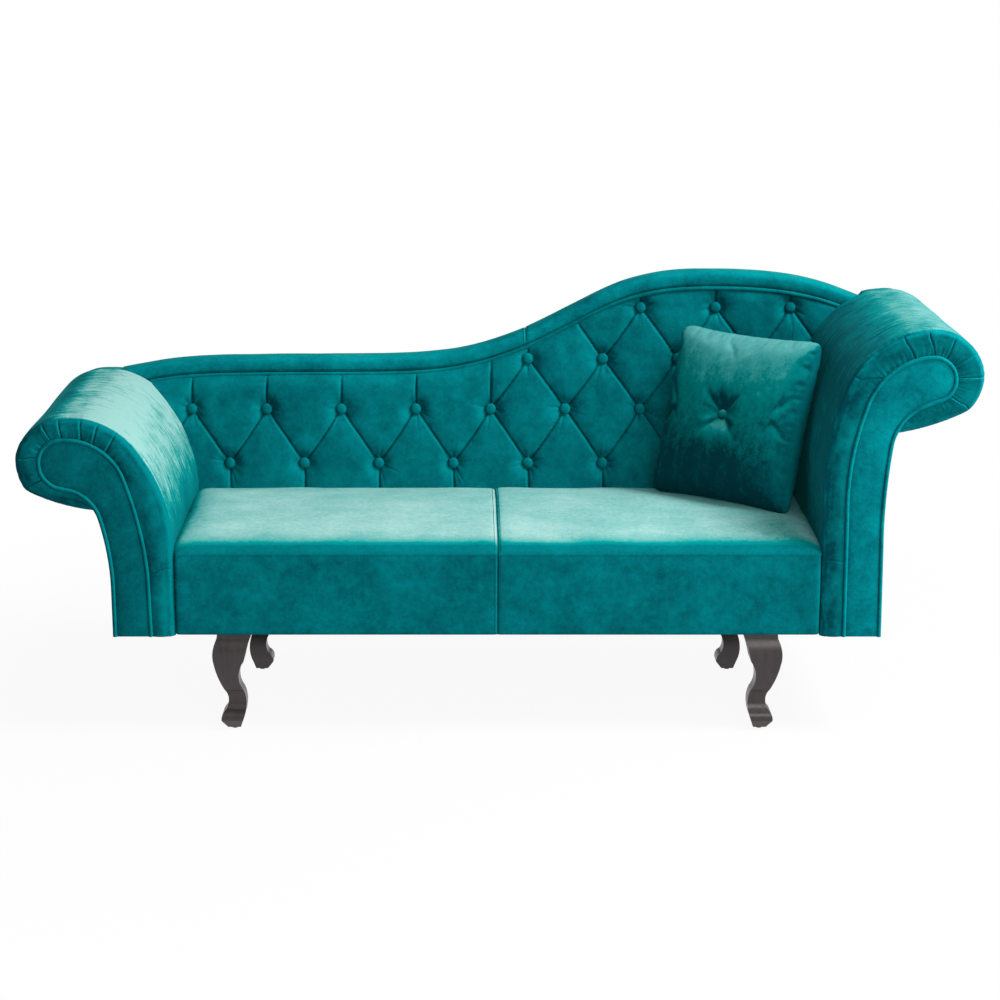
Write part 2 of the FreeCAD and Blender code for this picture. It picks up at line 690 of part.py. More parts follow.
def back_pieces():
    """Frame, webbing, foam, quilted cover, buttons, rim and outer cover of the back."""
    pieces = {}
    far = 1200.0
    arms_room = [arm.pad.grown(clearance).solid(-400, 400) for arm in (left_arm, right_arm)]
    frame_rear = frame_front + rail
    reach = half_seat + 11.0
    z0, z1 = rail_foot, rail_foot + rail_height

    bottom = box(-reach, reach, frame_front, frame_rear, z0, z1)
    pieces["back_bottom_rail"] = drilled(bottom, back_bolt_spots(), bolt_radius + bolt_gap, Vector(0, 1, 0))
    shaped = under_curve(rim_height, frame_front, frame_rear)
    below = under_curve(rim_height + top_rail_height, frame_front - 1.0, frame_rear + 1.0)
    pieces["back_top_rail"] = one_solid(shaped.cut(below))
    stiles = []
    for x in (-reach, -reach / 3.0, reach / 3.0, reach):
        x0 = max(-reach, min(x - stile_width / 2.0, reach - stile_width))
        stile = box(x0, x0 + stile_width, frame_front, frame_rear, z1, back_high_top)
        stiles.append(one_solid(stile.common(below)))
    pieces["back_stiles"] = group(stiles)
    inset = back_side_inset
    rim_zone = under_curve(0.0, -400, 400).cut(under_curve(rim_height, -400, 400))
    for arm in (left_arm, right_arm):
        x0, x1 = sorted((arm.side * reach, arm.side * far))
        beyond = box(x0, x1, -400, 400, leg_height, 900)
        boarded = arm.pad.grown(-inset - back_side_wadding).solid(frame_front, frame_rear).fuse(
            arm.face.grown(-inset - back_side_wadding).solid(frame_front, frame_rear))
        pieces[arm.name + "_back_end_board"] = one_solid(
            boarded.common(beyond).cut(rim_zone).cut(pieces["back_top_rail"]))
        wide = arm.pad.grown(-inset).solid(back_plane_front, frame_rear).fuse(
            arm.face.grown(-inset).solid(back_plane_front, frame_rear))
        hollow = arm.pad.grown(-inset - back_side_wadding).solid(back_plane_front - 1.0, frame_rear + 1.0).fuse(
            arm.face.grown(-inset - back_side_wadding).solid(back_plane_front - 1.0, frame_rear + 1.0))
        within = under_curve(0.0, -400, 400).common(box(-far, far, -400, 400, arm.top - 150.0, 900))
        x0, x1 = arm.span(pad_turn, 400.0)
        outside = box(x0, x1, -400, 400, leg_height, 900)
        pieces[arm.name + "_back_side_cover"] = one_solid(wide.cut(hollow).cut(within).common(outside))

    straps = []
    for z in (330.0, 410.0, 490.0, 570.0):
        straps.append(box(-reach, reach, frame_front - strap, frame_front, z, z + strap_width))
    for z in (650.0, 730.0):
        strip = box(0.0, reach, frame_front - strap, frame_front, z, z + strap_width)
        straps.append(one_solid(strip.common(under_curve(rim_height, 0, 400))))
    pieces["back_webbing"] = group(straps)

    buttons = [button(x, z) for x, z in button_spots()]
    pieces["back_buttons"] = group(buttons)
    slab = tufted_slab().common(under_curve(rim_height + 2.0 * piping_radius, -400, 400))
    slab = slab.common(box(-far, far, -400, 400, seat_rear_height + clearance, 900))
    for room in arms_room:
        slab = slab.cut(room)
    for x, z in button_spots():
        seat_y = lean(z) + tuft_depth - button_sink
        slab = slab.cut(Part.makeCylinder(button_radius + clearance, 60.0, Vector(x, seat_y, z), Vector(0, -1, 0)))
    pieces["back_tufted_cover"] = one_solid(slab)

    low = seat_rear_height + clearance
    high = back_high_top
    wedge = Part.Face(Part.makePolygon([
        Vector(-far, lean(low) + tuft_backing, low), Vector(-far, frame_front - strap, low),
        Vector(-far, frame_front - strap, high), Vector(-far, lean(high) + tuft_backing, high),
        Vector(-far, lean(low) + tuft_backing, low)])).extrude(Vector(2.0 * far, 0, 0))
    foam = wedge.common(under_curve(rim_height, -400, 400))
    for room in arms_room:
        foam = foam.cut(room)
    pieces["back_foam"] = one_solid(foam)

    welt_y0 = back_plane_front - 2.0 * piping_radius
    welt = under_curve(rim_height, welt_y0, back_plane_front).cut(
        under_curve(rim_height + 2.0 * piping_radius, welt_y0 - 1.0, back_plane_front + 1.0))
    for room in arms_room:
        welt = welt.cut(room)
    pieces["back_piping"] = one_solid(welt)

    under_rim = under_curve(rim_height, -400, 400)
    rim = crest(0.0, back_plane_front, back_plane_rear, rim_round).cut(under_rim)
    filling = crest(cloth, back_plane_front + cloth, back_plane_rear - cloth, rim_round - cloth).cut(under_rim)
    pieces["back_rim_padding"] = one_solid(filling)
    skin = rim.cut(filling)
    half_gap = clearance / 2.0
    pieces["left_back_rim_cover"] = one_solid(skin.common(box(-far, rim_join - half_gap, -400, 400, 0, 900)))
    pieces["right_back_rim_cover"] = one_solid(skin.common(box(rim_join + half_gap, far, -400, 400, 0, 900)))

    sheet = under_curve(rim_height, frame_rear, back_plane_rear)
    for arm in (left_arm, right_arm):
        sheet = sheet.fuse(arm.pad.grown(-inset).solid(frame_rear, back_plane_rear))
        sheet = sheet.fuse(arm.face.grown(-inset).solid(frame_rear, back_plane_rear))
    sheet = sheet.cut(rim_zone).common(box(-far, far, -400, 400, leg_height, 900))
    pieces["outer_back_cover"] = one_solid(sheet)
    return pieces


def pillow_section(a, half_height, thickness):
    """A lens across the pillow: two arcs joined by the thin sewn edge."""
    edge = pillow_edge / 2.0
    bulge = max(thickness / 2.0, edge + 0.3)
    corners = [Vector(a, -edge, -half_height), Vector(a, -edge, half_height),
               Vector(a, edge, half_height), Vector(a, edge, -half_height)]
    return Part.Wire([
        Part.Arc(corners[0], Vector(a, -bulge, 0), corners[1]).toShape(),
        Part.LineSegment(corners[1], corners[2]).toShape(),
        Part.Arc(corners[2], Vector(a, bulge, 0), corners[3]).toShape(),
        Part.LineSegment(corners[3], corners[0]).toShape()])


def pillow_form(trim):
    """The pillow before it is placed, standing in the XZ plane round its middle."""
    half = pillow_side / 2.0
    sections = []
    for share in (-1.0, -0.88, -0.62, -0.3, 0.0, 0.3, 0.62, 0.88, 1.0):
        draw = pillow_waist * (1.0 - share * share)
        full = (1.0 - abs(share) ** 2.4) ** 0.75
        thickness = pillow_edge + (pillow_thickness - pillow_edge) * full - 2.0 * trim * full
        sections.append(pillow_section(share * (half - trim), half - draw - trim, thickness))
    solid = Part.makeLoft(sections, True, True)
    face = pillow_thickness / 2.0 - trim
    for way in (-1.0, 1.0):
        mouth = Vector(0, way * (face + 1.0), 0)
        solid = solid.cut(Part.makeCone(
            pillow_dimple_radius, pillow_button_radius, pillow_dimple + 1.0, mouth, Vector(0, -way, 0)))
    return solid


def pillow_pieces(seat):
    """The loose pillow, set down on the seat."""
    outer = pillow_form(0.0)
    filling = pillow_form(cloth)
    cover = outer.cut(filling)
    buttons = []
    for way in (-1.0, 1.0):
        disc = domed_disc(pillow_button_radius - clearance, pillow_button_height)
        if way > 0:
            disc.rotate(Vector(0, 0, 0), Vector(0, 0, 1), 180)
        disc.translate(Vector(0, way * (pillow_thickness / 2.0 - pillow_dimple), 0))
        buttons.append(disc)
    pieces = {"pillow_cover": one_solid(cover), "pillow_filling": one_solid(filling), "pillow_buttons": group(buttons)}
    for shape in pieces.values():
        shape.rotate(Vector(0, 0, 0), Vector(1, 0, 0), pillow_lean)
        shape.rotate(Vector(0, 0, 0), Vector(0, 0, 1), pillow_yaw)
        shape.translate(Vector(pillow_x, pillow_y, seat_crown + pillow_side / 2.0))
    for _ in range(4):
        gap = pieces["pillow_cover"].distToShape(seat)[0]
        for shape in pieces.values():
            shape.translate(Vector(0, 0, clearance - gap))
    return pieces


def main():
    os.makedirs("parts", exist_ok=True)
    pieces = base_pieces()
    pieces.update(seat_pieces())
    for arm in (left_arm, right_arm):
        pieces.update(arm_pieces(arm))
    pieces.update(back_pieces())
    pieces.update(pillow_pieces(pieces["right_seat_cover"]))
    for name, shape in pieces.items():
        print(name, shape.isValid(), round(shape.Volume / 1000.0), len(shape.Faces))
        shape.exportStep(os.path.join("parts", name + ".step"))


main()
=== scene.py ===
"""Looks of the buttoned chaise longue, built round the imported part.

Metres. +X runs along the seat towards the high arm, +Y to the back, +Z up, with the floor at zero.
"""

import json
import math

import bmesh
import bpy
import numpy as np
from mathutils import Matrix, Vector, geometry


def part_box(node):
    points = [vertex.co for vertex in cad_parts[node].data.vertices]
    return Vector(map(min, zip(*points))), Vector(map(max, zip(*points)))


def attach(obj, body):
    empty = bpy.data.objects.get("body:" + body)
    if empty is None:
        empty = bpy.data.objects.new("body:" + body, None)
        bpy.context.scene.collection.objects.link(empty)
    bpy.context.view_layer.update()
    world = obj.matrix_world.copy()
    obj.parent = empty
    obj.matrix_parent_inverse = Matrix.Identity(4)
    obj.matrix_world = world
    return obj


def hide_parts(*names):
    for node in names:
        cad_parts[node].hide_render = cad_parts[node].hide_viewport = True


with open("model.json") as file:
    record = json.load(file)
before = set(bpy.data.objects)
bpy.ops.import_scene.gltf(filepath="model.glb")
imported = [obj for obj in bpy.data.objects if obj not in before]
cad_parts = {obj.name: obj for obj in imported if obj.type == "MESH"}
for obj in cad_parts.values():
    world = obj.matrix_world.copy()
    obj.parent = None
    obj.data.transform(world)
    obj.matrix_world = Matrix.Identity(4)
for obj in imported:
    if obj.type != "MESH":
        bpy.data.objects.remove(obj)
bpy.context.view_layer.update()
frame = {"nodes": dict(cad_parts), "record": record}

MM = 0.001

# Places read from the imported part
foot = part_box("seat_border_cover")[0].z
seat_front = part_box("seat_border_cover")[0].y
half_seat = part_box("right_seat_cover")[1].x + 0.3 * MM
seam_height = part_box("seat_border_cover")[1].z
arm_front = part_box("right_arm_inside_cover")[0].y
arm_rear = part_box("right_arm_inside_cover")[1].y
back_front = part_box("back_piping")[1].y
back_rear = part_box("outer_back_cover")[1].y
arm_tops = {-1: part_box("left_arm_inside_cover")[1].z, 1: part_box("right_arm_inside_cover")[1].z}

# Sizes of the upholstery
edge_round = 14 * MM            # padded front edge of the arms
rear_round = 8 * MM             # their edge against the back
piping = 4 * MM                 # radius of the cords
band_puff = 4 * MM              # how far the arms' front bands swell
seat_edge = seam_height + 9.5 * MM
seat_line = 190 * MM            # where the seat meets the buttoned back
seat_line_height = 384 * MM
seat_crown = 400 * MM
seat_side_crown = 391 * MM
seat_round = 13 * MM
seat_slope = math.radians(34)   # of the seat where its rounded front edge starts
seat_flat = 0.9                 # share of the seat's cover behind that edge
deck_height = 288 * MM
hem_round = 6 * MM
seat_stitches_beside = 6 * MM   # from the seam in the middle
border_stitches_beside = 5 * MM
border_stitches_below = 5.5 * MM
rim_height = 33 * MM
rim_join = 66 * MM              # x of the rim's upright seam
rim_stitches_beside = 5.4 * MM
back_inset = 8 * MM             # of the back's ends behind the arms
back_low_top = 659 * MM
back_high_top = 842 * MM
lean_foot = 388 * MM            # height that the back leans from
lean_slope = 45 / 392
tuft_pitch = 79.3 * MM          # sideways from a button to the next one in the row above
tuft_origin = -10 * MM
tuft_rows = (435.5 * MM, 550.5 * MM, 656.5 * MM, 764.5 * MM)
tuft_backing = 34 * MM
button_radius = 12 * MM
button_height = 7.5 * MM
button_seat = 13.5 * MM         # how far behind the crests a button sits
pillow_side = 352 * MM
pillow_thickness = 118 * MM
pillow_dimple = 8 * MM
pillow_fullness = 52 * MM
pillow_move = 10 * MM           # the most that the simulation may shift its cloth
pillow_lean = math.radians(-17)
pillow_yaw = math.radians(-43)
pillow_cells = 72               # of each cloth, along a side
pillow_frames = 20
pillow_shift = (-7 * MM, 0, 3 * MM)
pillow_button_radius = 11 * MM
pillow_button_height = 6.5 * MM
stitch_length = 4 * MM
stitch_gap = 1.8 * MM
thread_radius = 0.6 * MM

# Light
world_level = 0.32
lamps = (("key", (2.9, -1.2, 4.2), 1.8, 1.8, 205.0), ("front", (0.8, -4.2, 1.9), 2.2, 1.4, 55.0))
lamp_target = (0.0, 0.0, 0.4)


# Outlines

def circle_centre(a, b, c):
    d = 2 * ((b[0] - a[0]) * (c[1] - a[1]) - (b[1] - a[1]) * (c[0] - a[0]))
    bb = (b[0] - a[0]) ** 2 + (b[1] - a[1]) ** 2
    cc = (c[0] - a[0]) ** 2 + (c[1] - a[1]) ** 2
    x = ((c[1] - a[1]) * bb - (b[1] - a[1]) * cc) / d
    z = ((b[0] - a[0]) * cc - (c[0] - a[0]) * bb) / d
    return a[0] + x, a[1] + z


def trace(start, segments):
    """Close points along lines (end,) and arcs (middle, end), in millimetres."""
    step = 0.8
    points = [start]
    here = start
    for segment in segments:
        end = segment[-1]
        if len(segment) == 1:
            count = max(1, int(math.dist(here, end) / step))
            for i in range(1, count + 1):
                t = i / count
                points.append((here[0] + (end[0] - here[0]) * t, here[1] + (end[1] - here[1]) * t))
        else:
            cx, cz = circle_centre(here, segment[0], end)
            radius = math.dist((cx, cz), here)
            angles = [math.atan2(p[1] - cz, p[0] - cx) for p in (here, segment[0], end)]
            sweep = (angles[2] - angles[0]) % (2 * math.pi)
            if (angles[1] - angles[0]) % (2 * math.pi) > sweep:
                sweep -= 2 * math.pi
            count = max(2, int(abs(sweep) * radius / step))
            for i in range(1, count + 1):
                angle = angles[0] + sweep * i / count
                points.append((cx + radius * math.cos(angle), cz + radius * math.sin(angle)))
        here = end
    return np.array(points)


class Path:
    """A line in the XZ plane that can be asked for places, tangents and normals by the distance along it."""

    def __init__(self, points):
        self.points = np.asarray(points, float)
        steps = np.linalg.norm(np.diff(self.points, axis=0), axis=1)
        self.along = np.concatenate([[0], np.cumsum(steps)])
        self.length = self.along[-1]

    def at(self, s):
        s = np.clip(s, 0, self.length)
        return np.stack([np.interp(s, self.along, self.points[:, k]) for k in (0, 1)], -1)

    def tangent(self, s, reach=2 * MM):
        ahead = self.at(np.asarray(s) + reach) - self.at(np.asarray(s) - reach)
        return ahead / np.maximum(np.linalg.norm(ahead, axis=-1, keepdims=True), 1e-9)

    def normal(self, s, reach=2 * MM):
        """To the left of the way along the line."""
        t = self.tangent(s, reach)
        return np.stack([-t[..., 1], t[..., 0]], -1)

    def nearest(self, point):
        return self.along[np.argmin(np.linalg.norm(self.points - np.asarray(point), axis=1))]


def smoothed(values, width):
    """A moving average whose ends hold still."""
    kernel = np.hanning(width + 2)[1:-1]
    kernel /= kernel.sum()
    half = width // 2
    before = 2 * values[0] - values[half:0:-1]
    after = 2 * values[-1] - values[-2:-half - 2:-1]
    return np.convolve(np.concatenate([before, values, after]), kernel, "valid")[:len(values)]


def noise_line(x, scale, seed, octaves=3):
    """Smooth noise along one line, about -1 to 1."""
    draw = np.random.default_rng(seed)
    total = np.zeros_like(x, float)
    for octave in range(octaves):
        for _ in range(3):
            wave = scale / 2 ** octave * draw.uniform(0.7, 1.4)
            total += np.sin(2 * math.pi * x / wave + draw.uniform(0, 6.28)) / 2 ** octave / 3
    return total


def noise_plane(x, y, scale, seed, octaves=3):
    """Smooth noise over a plane, about -1 to 1."""
    draw = np.random.default_rng(seed)
    total = np.zeros(np.broadcast(x, y).shape)
    for octave in range(octaves):
        for _ in range(5):
            wave = scale / 2 ** octave * draw.uniform(0.7, 1.5)
            turn = draw.uniform(0, 2 * math.pi)
            phase = draw.uniform(0, 2 * math.pi)
            way = (x * math.cos(turn) + y * math.sin(turn)) / wave
            total += np.sin(2 * math.pi * way + phase) / 2 ** octave / 3
    return total


def xyz(x, y, z):
    """3-D points from their coordinates, where a plain number counts for all of them."""
    return np.stack(np.broadcast_arrays(x, y, z), -1)


# Meshes

def mesh_piece(name, vertices, faces, material, body="root", replaces=(), sharp=38):
    """A velvet piece from points and faces, with its normals turned outward."""
    mesh = bpy.data.meshes.new(name)
    mesh.from_pydata([tuple(v) for v in vertices], [], [tuple(int(i) for i in f) for f in faces])
    work = bmesh.new()
    work.from_mesh(mesh)
    bmesh.ops.remove_doubles(work, verts=work.verts, dist=0.02 * MM)
    bmesh.ops.dissolve_degenerate(work, edges=work.edges, dist=0.01 * MM)
    long_faces = [f for f in work.faces if len(f.verts) > 4]
    bmesh.ops.triangulate(work, faces=long_faces, ngon_method="EAR_CLIP")
    bmesh.ops.recalc_face_normals(work, faces=work.faces)
    work.to_mesh(mesh)
    work.free()
    mesh.shade_smooth()
    mesh.set_sharp_from_angle(angle=math.radians(sharp))
    piece = bpy.data.objects.new(name, mesh)
    bpy.context.scene.collection.objects.link(piece)
    mesh.materials.append(material)
    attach(piece, body)
    if replaces:
        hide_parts(*replaces)
    return piece


def ring_faces(count, width):
    """Quads between closed rings of points placed one after another."""
    faces = []
    for i in range(count - 1):
        for j in range(width):
            k = (j + 1) % width
            a, b = i * width, (i + 1) * width
            faces.append((a + j, a + k, b + k, b + j))
    return faces


def loft(rings):
    """Vertices and faces of closed rings joined one to the next, with both ends capped."""
    rings = np.asarray(rings)
    count, width = rings.shape[:2]
    faces = ring_faces(count, width)
    faces.append(tuple(range(width)))
    faces.append(tuple(range((count - 1) * width, count * width)))
    return rings.reshape(-1, 3), faces


def joined(parts):
    """Several sets of vertices and faces as one."""
    vertices, faces, offset = [], [], 0
    for points, quads in parts:
        vertices.extend(points)
        faces.extend(tuple(i + offset for i in f) for f in quads)
        offset += len(points)
    return vertices, faces


def tube(points, radius, sides):
    """A round cord along 3-D points."""
    points = np.asarray(points, float)
    ways = np.gradient(points, axis=0)
    ways /= np.linalg.norm(ways, axis=1, keepdims=True)
    side = np.array([0.0, 1.0, 0.0])
    side = side - ways * (ways * side).sum(1, keepdims=True)
    side /= np.maximum(np.linalg.norm(side, axis=1, keepdims=True), 1e-9)
    other = np.cross(ways, side)
    angles = 2 * math.pi * np.arange(sides) / sides
    rings = (points[:, None, :] + radius * (np.cos(angles)[None, :, None] * side[:, None, :]
                                            + np.sin(angles)[None, :, None] * other[:, None, :]))
    return loft(rings)


def boundary_distance(points, outline):
    """Distance of each 2-D point to a closed outline of points."""
    a = outline
    b = np.roll(outline, -1, axis=0)
    way = b - a
    best = np.full(len(points), 1e9)
    for start, step in zip(a, way):
        size = step @ step
        if size < 1e-14:
            continue
        t = np.clip((points - start) @ step / size, 0, 1)
        best = np.minimum(best, np.linalg.norm(points - start - t[:, None] * step, axis=1))
    return best


def panel(outline, y, thickness, spacing, rise):
    """A flat-backed padded panel filling an outline in XZ; rise(points, distance) moves its face along Y."""
    outline = np.asarray(outline, float)
    low, high = outline.min(0), outline.max(0)
    xs = np.arange(low[0] + spacing / 2, high[0], spacing)
    zs = np.arange(low[1] + spacing / 2, high[1], spacing)
    inner = np.stack(np.meshgrid(xs, zs), -1).reshape(-1, 2)
    inside = np.zeros(len(inner), bool)
    for (x0, z0), (x1, z1) in zip(outline, np.roll(outline, -1, axis=0)):
        crossing = (z0 > inner[:, 1]) != (z1 > inner[:, 1])
        with np.errstate(divide="ignore", invalid="ignore"):
            edge = (x1 - x0) * (inner[:, 1] - z0) / (z1 - z0) + x0
        inside ^= crossing & (inner[:, 0] < edge)
    inner = inner[inside]
    inner = inner[boundary_distance(inner, outline) > 0.6 * spacing]
    count = len(outline)
    flat = [Vector(p) for p in np.concatenate([outline, inner])]
    edges = [(i, (i + 1) % count) for i in range(count)]
    points, _, triangles, *_ = geometry.delaunay_2d_cdt(flat, edges, [], 1, 1e-7)
    points = np.array([(p.x, p.y) for p in points])
    distance = boundary_distance(points, outline)
    lift = rise(points, distance)
    face = np.stack([points[:, 0], y + lift, points[:, 1]], -1)
    rear = np.stack([points[:, 0], np.full(len(points), y + thickness), points[:, 1]], -1)
    shift = len(points)
    faces = [tuple(t) for t in triangles] + [tuple(i + shift for i in reversed(t)) for t in triangles]
    uses = {}
    for t in triangles:
        for a, b in zip(t, list(t[1:]) + [t[0]]):
            key = (min(a, b), max(a, b))
            uses[key] = uses.get(key, 0) + 1
    faces += [(a, b, b + shift, a + shift) for (a, b), n in uses.items() if n == 1]
    return np.concatenate([face, rear]), faces


# Materials

def socket_input(node, **values):
    for name, value in values.items():
        node.inputs[name.replace("_", " ")].default_value = value


class Material:
    """A node material under construction."""

    def __init__(self, name):
        self.material = bpy.data.materials.new(name)
        self.material.use_nodes = True
        self.tree = self.material.node_tree
        self.shader = self.tree.nodes["Principled BSDF"]
        self.place = self.add("ShaderNodeTexCoord").outputs["Object"]

    def add(self, kind, **settings):
        node = self.tree.nodes.new(kind)
        for key, value in settings.items():
            setattr(node, key, value)
        return node

    def link(self, source, target):
        self.tree.links.new(source, target)

    def stretched(self, scale):
        mapping = self.add("ShaderNodeMapping")
        mapping.inputs["Scale"].default_value = scale
        self.link(self.place, mapping.inputs["Vector"])
        return mapping.outputs["Vector"]

    def noise(self, scale, detail=4.0, rough=0.5, place=None, distortion=0.0):
        node = self.add("ShaderNodeTexNoise")
        socket_input(node, Scale=scale, Detail=detail, Roughness=rough, Distortion=distortion)
        self.link(place or self.place, node.inputs["Vector"])
        return node.outputs["Fac"]

    def ranged(self, value, from_low, from_high, to_low, to_high, kind="LINEAR"):
        node = self.add("ShaderNodeMapRange", interpolation_type=kind)
        socket_input(node, From_Min=from_low, From_Max=from_high, To_Min=to_low, To_Max=to_high)
        self.link(value, node.inputs["Value"])
        return node.outputs["Result"]

    def maths(self, operation, a, b):
        node = self.add("ShaderNodeMath", operation=operation)
        for value, target in ((a, node.inputs[0]), (b, node.inputs[1])):
            if isinstance(value, (int, float)):
                target.default_value = value
            else:
                self.link(value, target)
        return node.outputs[0]

    def mix(self, share, first, second, blend="MIX"):
        node = self.add("ShaderNodeMix", data_type="RGBA", blend_type=blend)
        for value, target in ((share, node.inputs[0]), (first, node.inputs[6]), (second, node.inputs[7])):
            if isinstance(value, (int, float, tuple)):
                target.default_value = value
            else:
                self.link(value, target)
        return node.outputs[2]

    def dot(self, vector, way):
        node = self.add("ShaderNodeVectorMath", operation="DOT_PRODUCT")
        self.link(vector, node.inputs[0])
        node.inputs[1].default_value = way
        return node.outputs["Value"]

    def clamped(self, value):
        node = self.add("ShaderNodeClamp")
        self.link(value, node.inputs["Value"])
        return node.outputs["Result"]

    def grey(self, value):
        node = self.add("ShaderNodeCombineColor")
        for name in ("Red", "Green", "Blue"):
            self.link(value, node.inputs[name])
        return node.outputs["Color"]

    def bump(self, height, strength, distance, below=None):
        node = self.add("ShaderNodeBump")
        socket_input(node, Strength=strength, Distance=distance)
        self.link(height, node.inputs["Height"])
        if below is not None:
            self.link(below, node.inputs["Normal"])
        return node.outputs["Normal"]


def velvet_material(name, streak_scale=(18.0, 18.0, 18.0), streak=0.1, painted_light=1.0, front_painted_shade=1.0,
                    highlight_way=(0.35, -0.1, 0.93), highlight_from=0.8, highlight_to=1.2, painted_highlight_colour=(0.25, 0.60, 0.58, 1), cloudy=1.0,
                    front_painted_highlight=0.0, fade=None):
    """Short-pile velvet with painted light and shade. A dark and a light pile tone are mixed by cloudy patches,
    brushed streaks and a fine grain, and by painted light from the right, lighter where the normal faces right;
    painted_light scales both tones, so pieces get lit and shaded copies; forward faces are darkened by
    front_painted_shade as painted shade; a pale painted highlight, a painted sheen, lies where the normal faces
    highlight_way; fade is a line along which that painted highlight dies out, as a painted shadow."""
    m = Material(name)
    cloud = m.noise(7.0, 5.0, 0.55, distortion=0.3)
    patch = m.noise(34.0, 5.0, 0.65)
    mottle = m.noise(110.0, 4.0, 0.6)
    brushed = m.noise(1.0, 3.0, 0.6, place=m.stretched(streak_scale))
    grain = m.noise(420.0, 3.0, 0.7)
    normal = m.add("ShaderNodeNewGeometry").outputs["Normal"]
    tone = m.maths("ADD", m.ranged(cloud, 0.3, 0.7, -0.16 * cloudy, 0.16 * cloudy),
                   m.ranged(patch, 0.3, 0.7, -0.2 * cloudy, 0.2 * cloudy))
    tone = m.maths("ADD", tone, m.ranged(mottle, 0.3, 0.7, -0.12, 0.12))
    tone = m.maths("ADD", tone, m.ranged(brushed, 0.3, 0.7, -streak, streak))
    tone = m.maths("ADD", tone, m.ranged(grain, 0.3, 0.7, -0.17, 0.17))
    # Painted light from the right: the pile is lighter where the normal faces right and up, darker where it
    # faces left.
    turn = m.ranged(m.dot(normal, (0.93, 0.0, 0.36)), -0.6, 0.6, 0.0, 1.0)
    share = m.clamped(m.maths("ADD", m.maths("MULTIPLY", tone, 0.9), turn))
    # painted_light scales both tones: lit and shaded copies of one velvet.
    pile_and_painted_light = m.mix(share, (0.0, 0.055 * painted_light, 0.072 * painted_light, 1), (0.0, 0.225 * painted_light, 0.25 * painted_light, 1))
    # Painted shade: faces turned forward are darkened by front_painted_shade.
    forward = m.dot(normal, (0.0, -1.0, 0.0))
    pile_and_painted_light = m.mix(1.0, pile_and_painted_light, m.grey(m.ranged(forward, 0.7, 1.0, 1.0, front_painted_shade)), "MULTIPLY")
    # Painted highlight: pale where the normal faces highlight_way, a painted sheen from the lamp above.
    painted_highlight = m.maths("ADD", m.dot(normal, highlight_way), m.maths("MULTIPLY", tone, 0.3))
    if fade:
        # Painted shadow: the highlight dies out along the fade line.
        way, start, end, loss = fade
        painted_highlight = m.maths("SUBTRACT", painted_highlight, m.ranged(m.dot(m.place, way), start, end, 0.0, loss))
    painted_highlight = m.ranged(painted_highlight, highlight_from, highlight_to, 0.0, 1.0)
    # The painted highlight is held off forward faces, down to front_painted_highlight.
    painted_highlight = m.maths("MULTIPLY", painted_highlight, m.ranged(forward, 0.12, 0.4, 1.0, front_painted_highlight))
    middle = tuple(0.0 if k == 0 else 0.52 * c for k, c in enumerate(painted_highlight_colour[:3])) + (1,)
    colour = m.mix(m.ranged(painted_highlight, 0.0, 0.5, 0.0, 1.0), pile_and_painted_light, middle)
    colour = m.mix(m.ranged(painted_highlight, 0.4, 1.0, 0.0, 1.0), colour, painted_highlight_colour)
    m.link(colour, m.shader.inputs["Base Color"])
    m.link(m.ranged(patch, 0.3, 0.7, 0.76, 0.92), m.shader.inputs["Roughness"])
    socket_input(m.shader, Specular_IOR_Level=0.02, Sheen_Weight=0.12, Sheen_Roughness=0.3,
                 Sheen_Tint=(0.05, 1.0, 0.97, 1))
    soft = m.bump(patch, 0.12, 4 * MM)
    m.link(m.bump(grain, 0.3, 0.5 * MM, below=soft), m.shader.inputs["Normal"])
    return m.material


def wood_material(name, dark, light, rough, coat=0.0):
    """Stained or raw wood with grain along Z."""
    m = Material(name)
    place = m.stretched((120.0, 120.0, 9.0))
    grain = m.noise(1.0, 6.0, 0.6, place=place, distortion=0.6)
    pores = m.noise(1.0, 2.0, 0.5, place=m.stretched((900.0, 900.0, 40.0)))
    colour = m.mix(m.ranged(grain, 0.3, 0.7, 0.0, 1.0), dark, light)
    m.link(colour, m.shader.inputs["Base Color"])
    m.link(m.ranged(grain, 0.3, 0.7, rough - 0.06, rough + 0.08), m.shader.inputs["Roughness"])
    socket_input(m.shader, Coat_Weight=coat, Coat_Roughness=0.22)
    m.link(m.bump(pores, 0.12, 0.3 * MM), m.shader.inputs["Normal"])
    return m.material


def plain_material(name, dark, light, rough, scale, metallic=0.0, bump=0.2):
    """Foam, cloth, webbing, metal and plastic that hardly show: two tones and a fine relief."""
    m = Material(name)
    grain = m.noise(scale, 4.0, 0.6)
    m.link(m.mix(m.ranged(grain, 0.3, 0.7, 0.0, 1.0), dark, light), m.shader.inputs["Base Color"])
    m.link(m.ranged(grain, 0.3, 0.7, rough - 0.08, rough + 0.08), m.shader.inputs["Roughness"])
    socket_input(m.shader, Metallic=metallic)
    m.link(m.bump(grain, bump, 0.5 * MM), m.shader.inputs["Normal"])
    return m.material


# Velvets with painted light: each piece has its own painted_light level, painted shade on forward faces and a
# painted highlight.
velvet = velvet_material("velvet")
velvet_back = velvet_material("velvet_back", highlight_from=0.85, highlight_to=1.3, painted_highlight_colour=(0.05, 0.42, 0.43, 1))
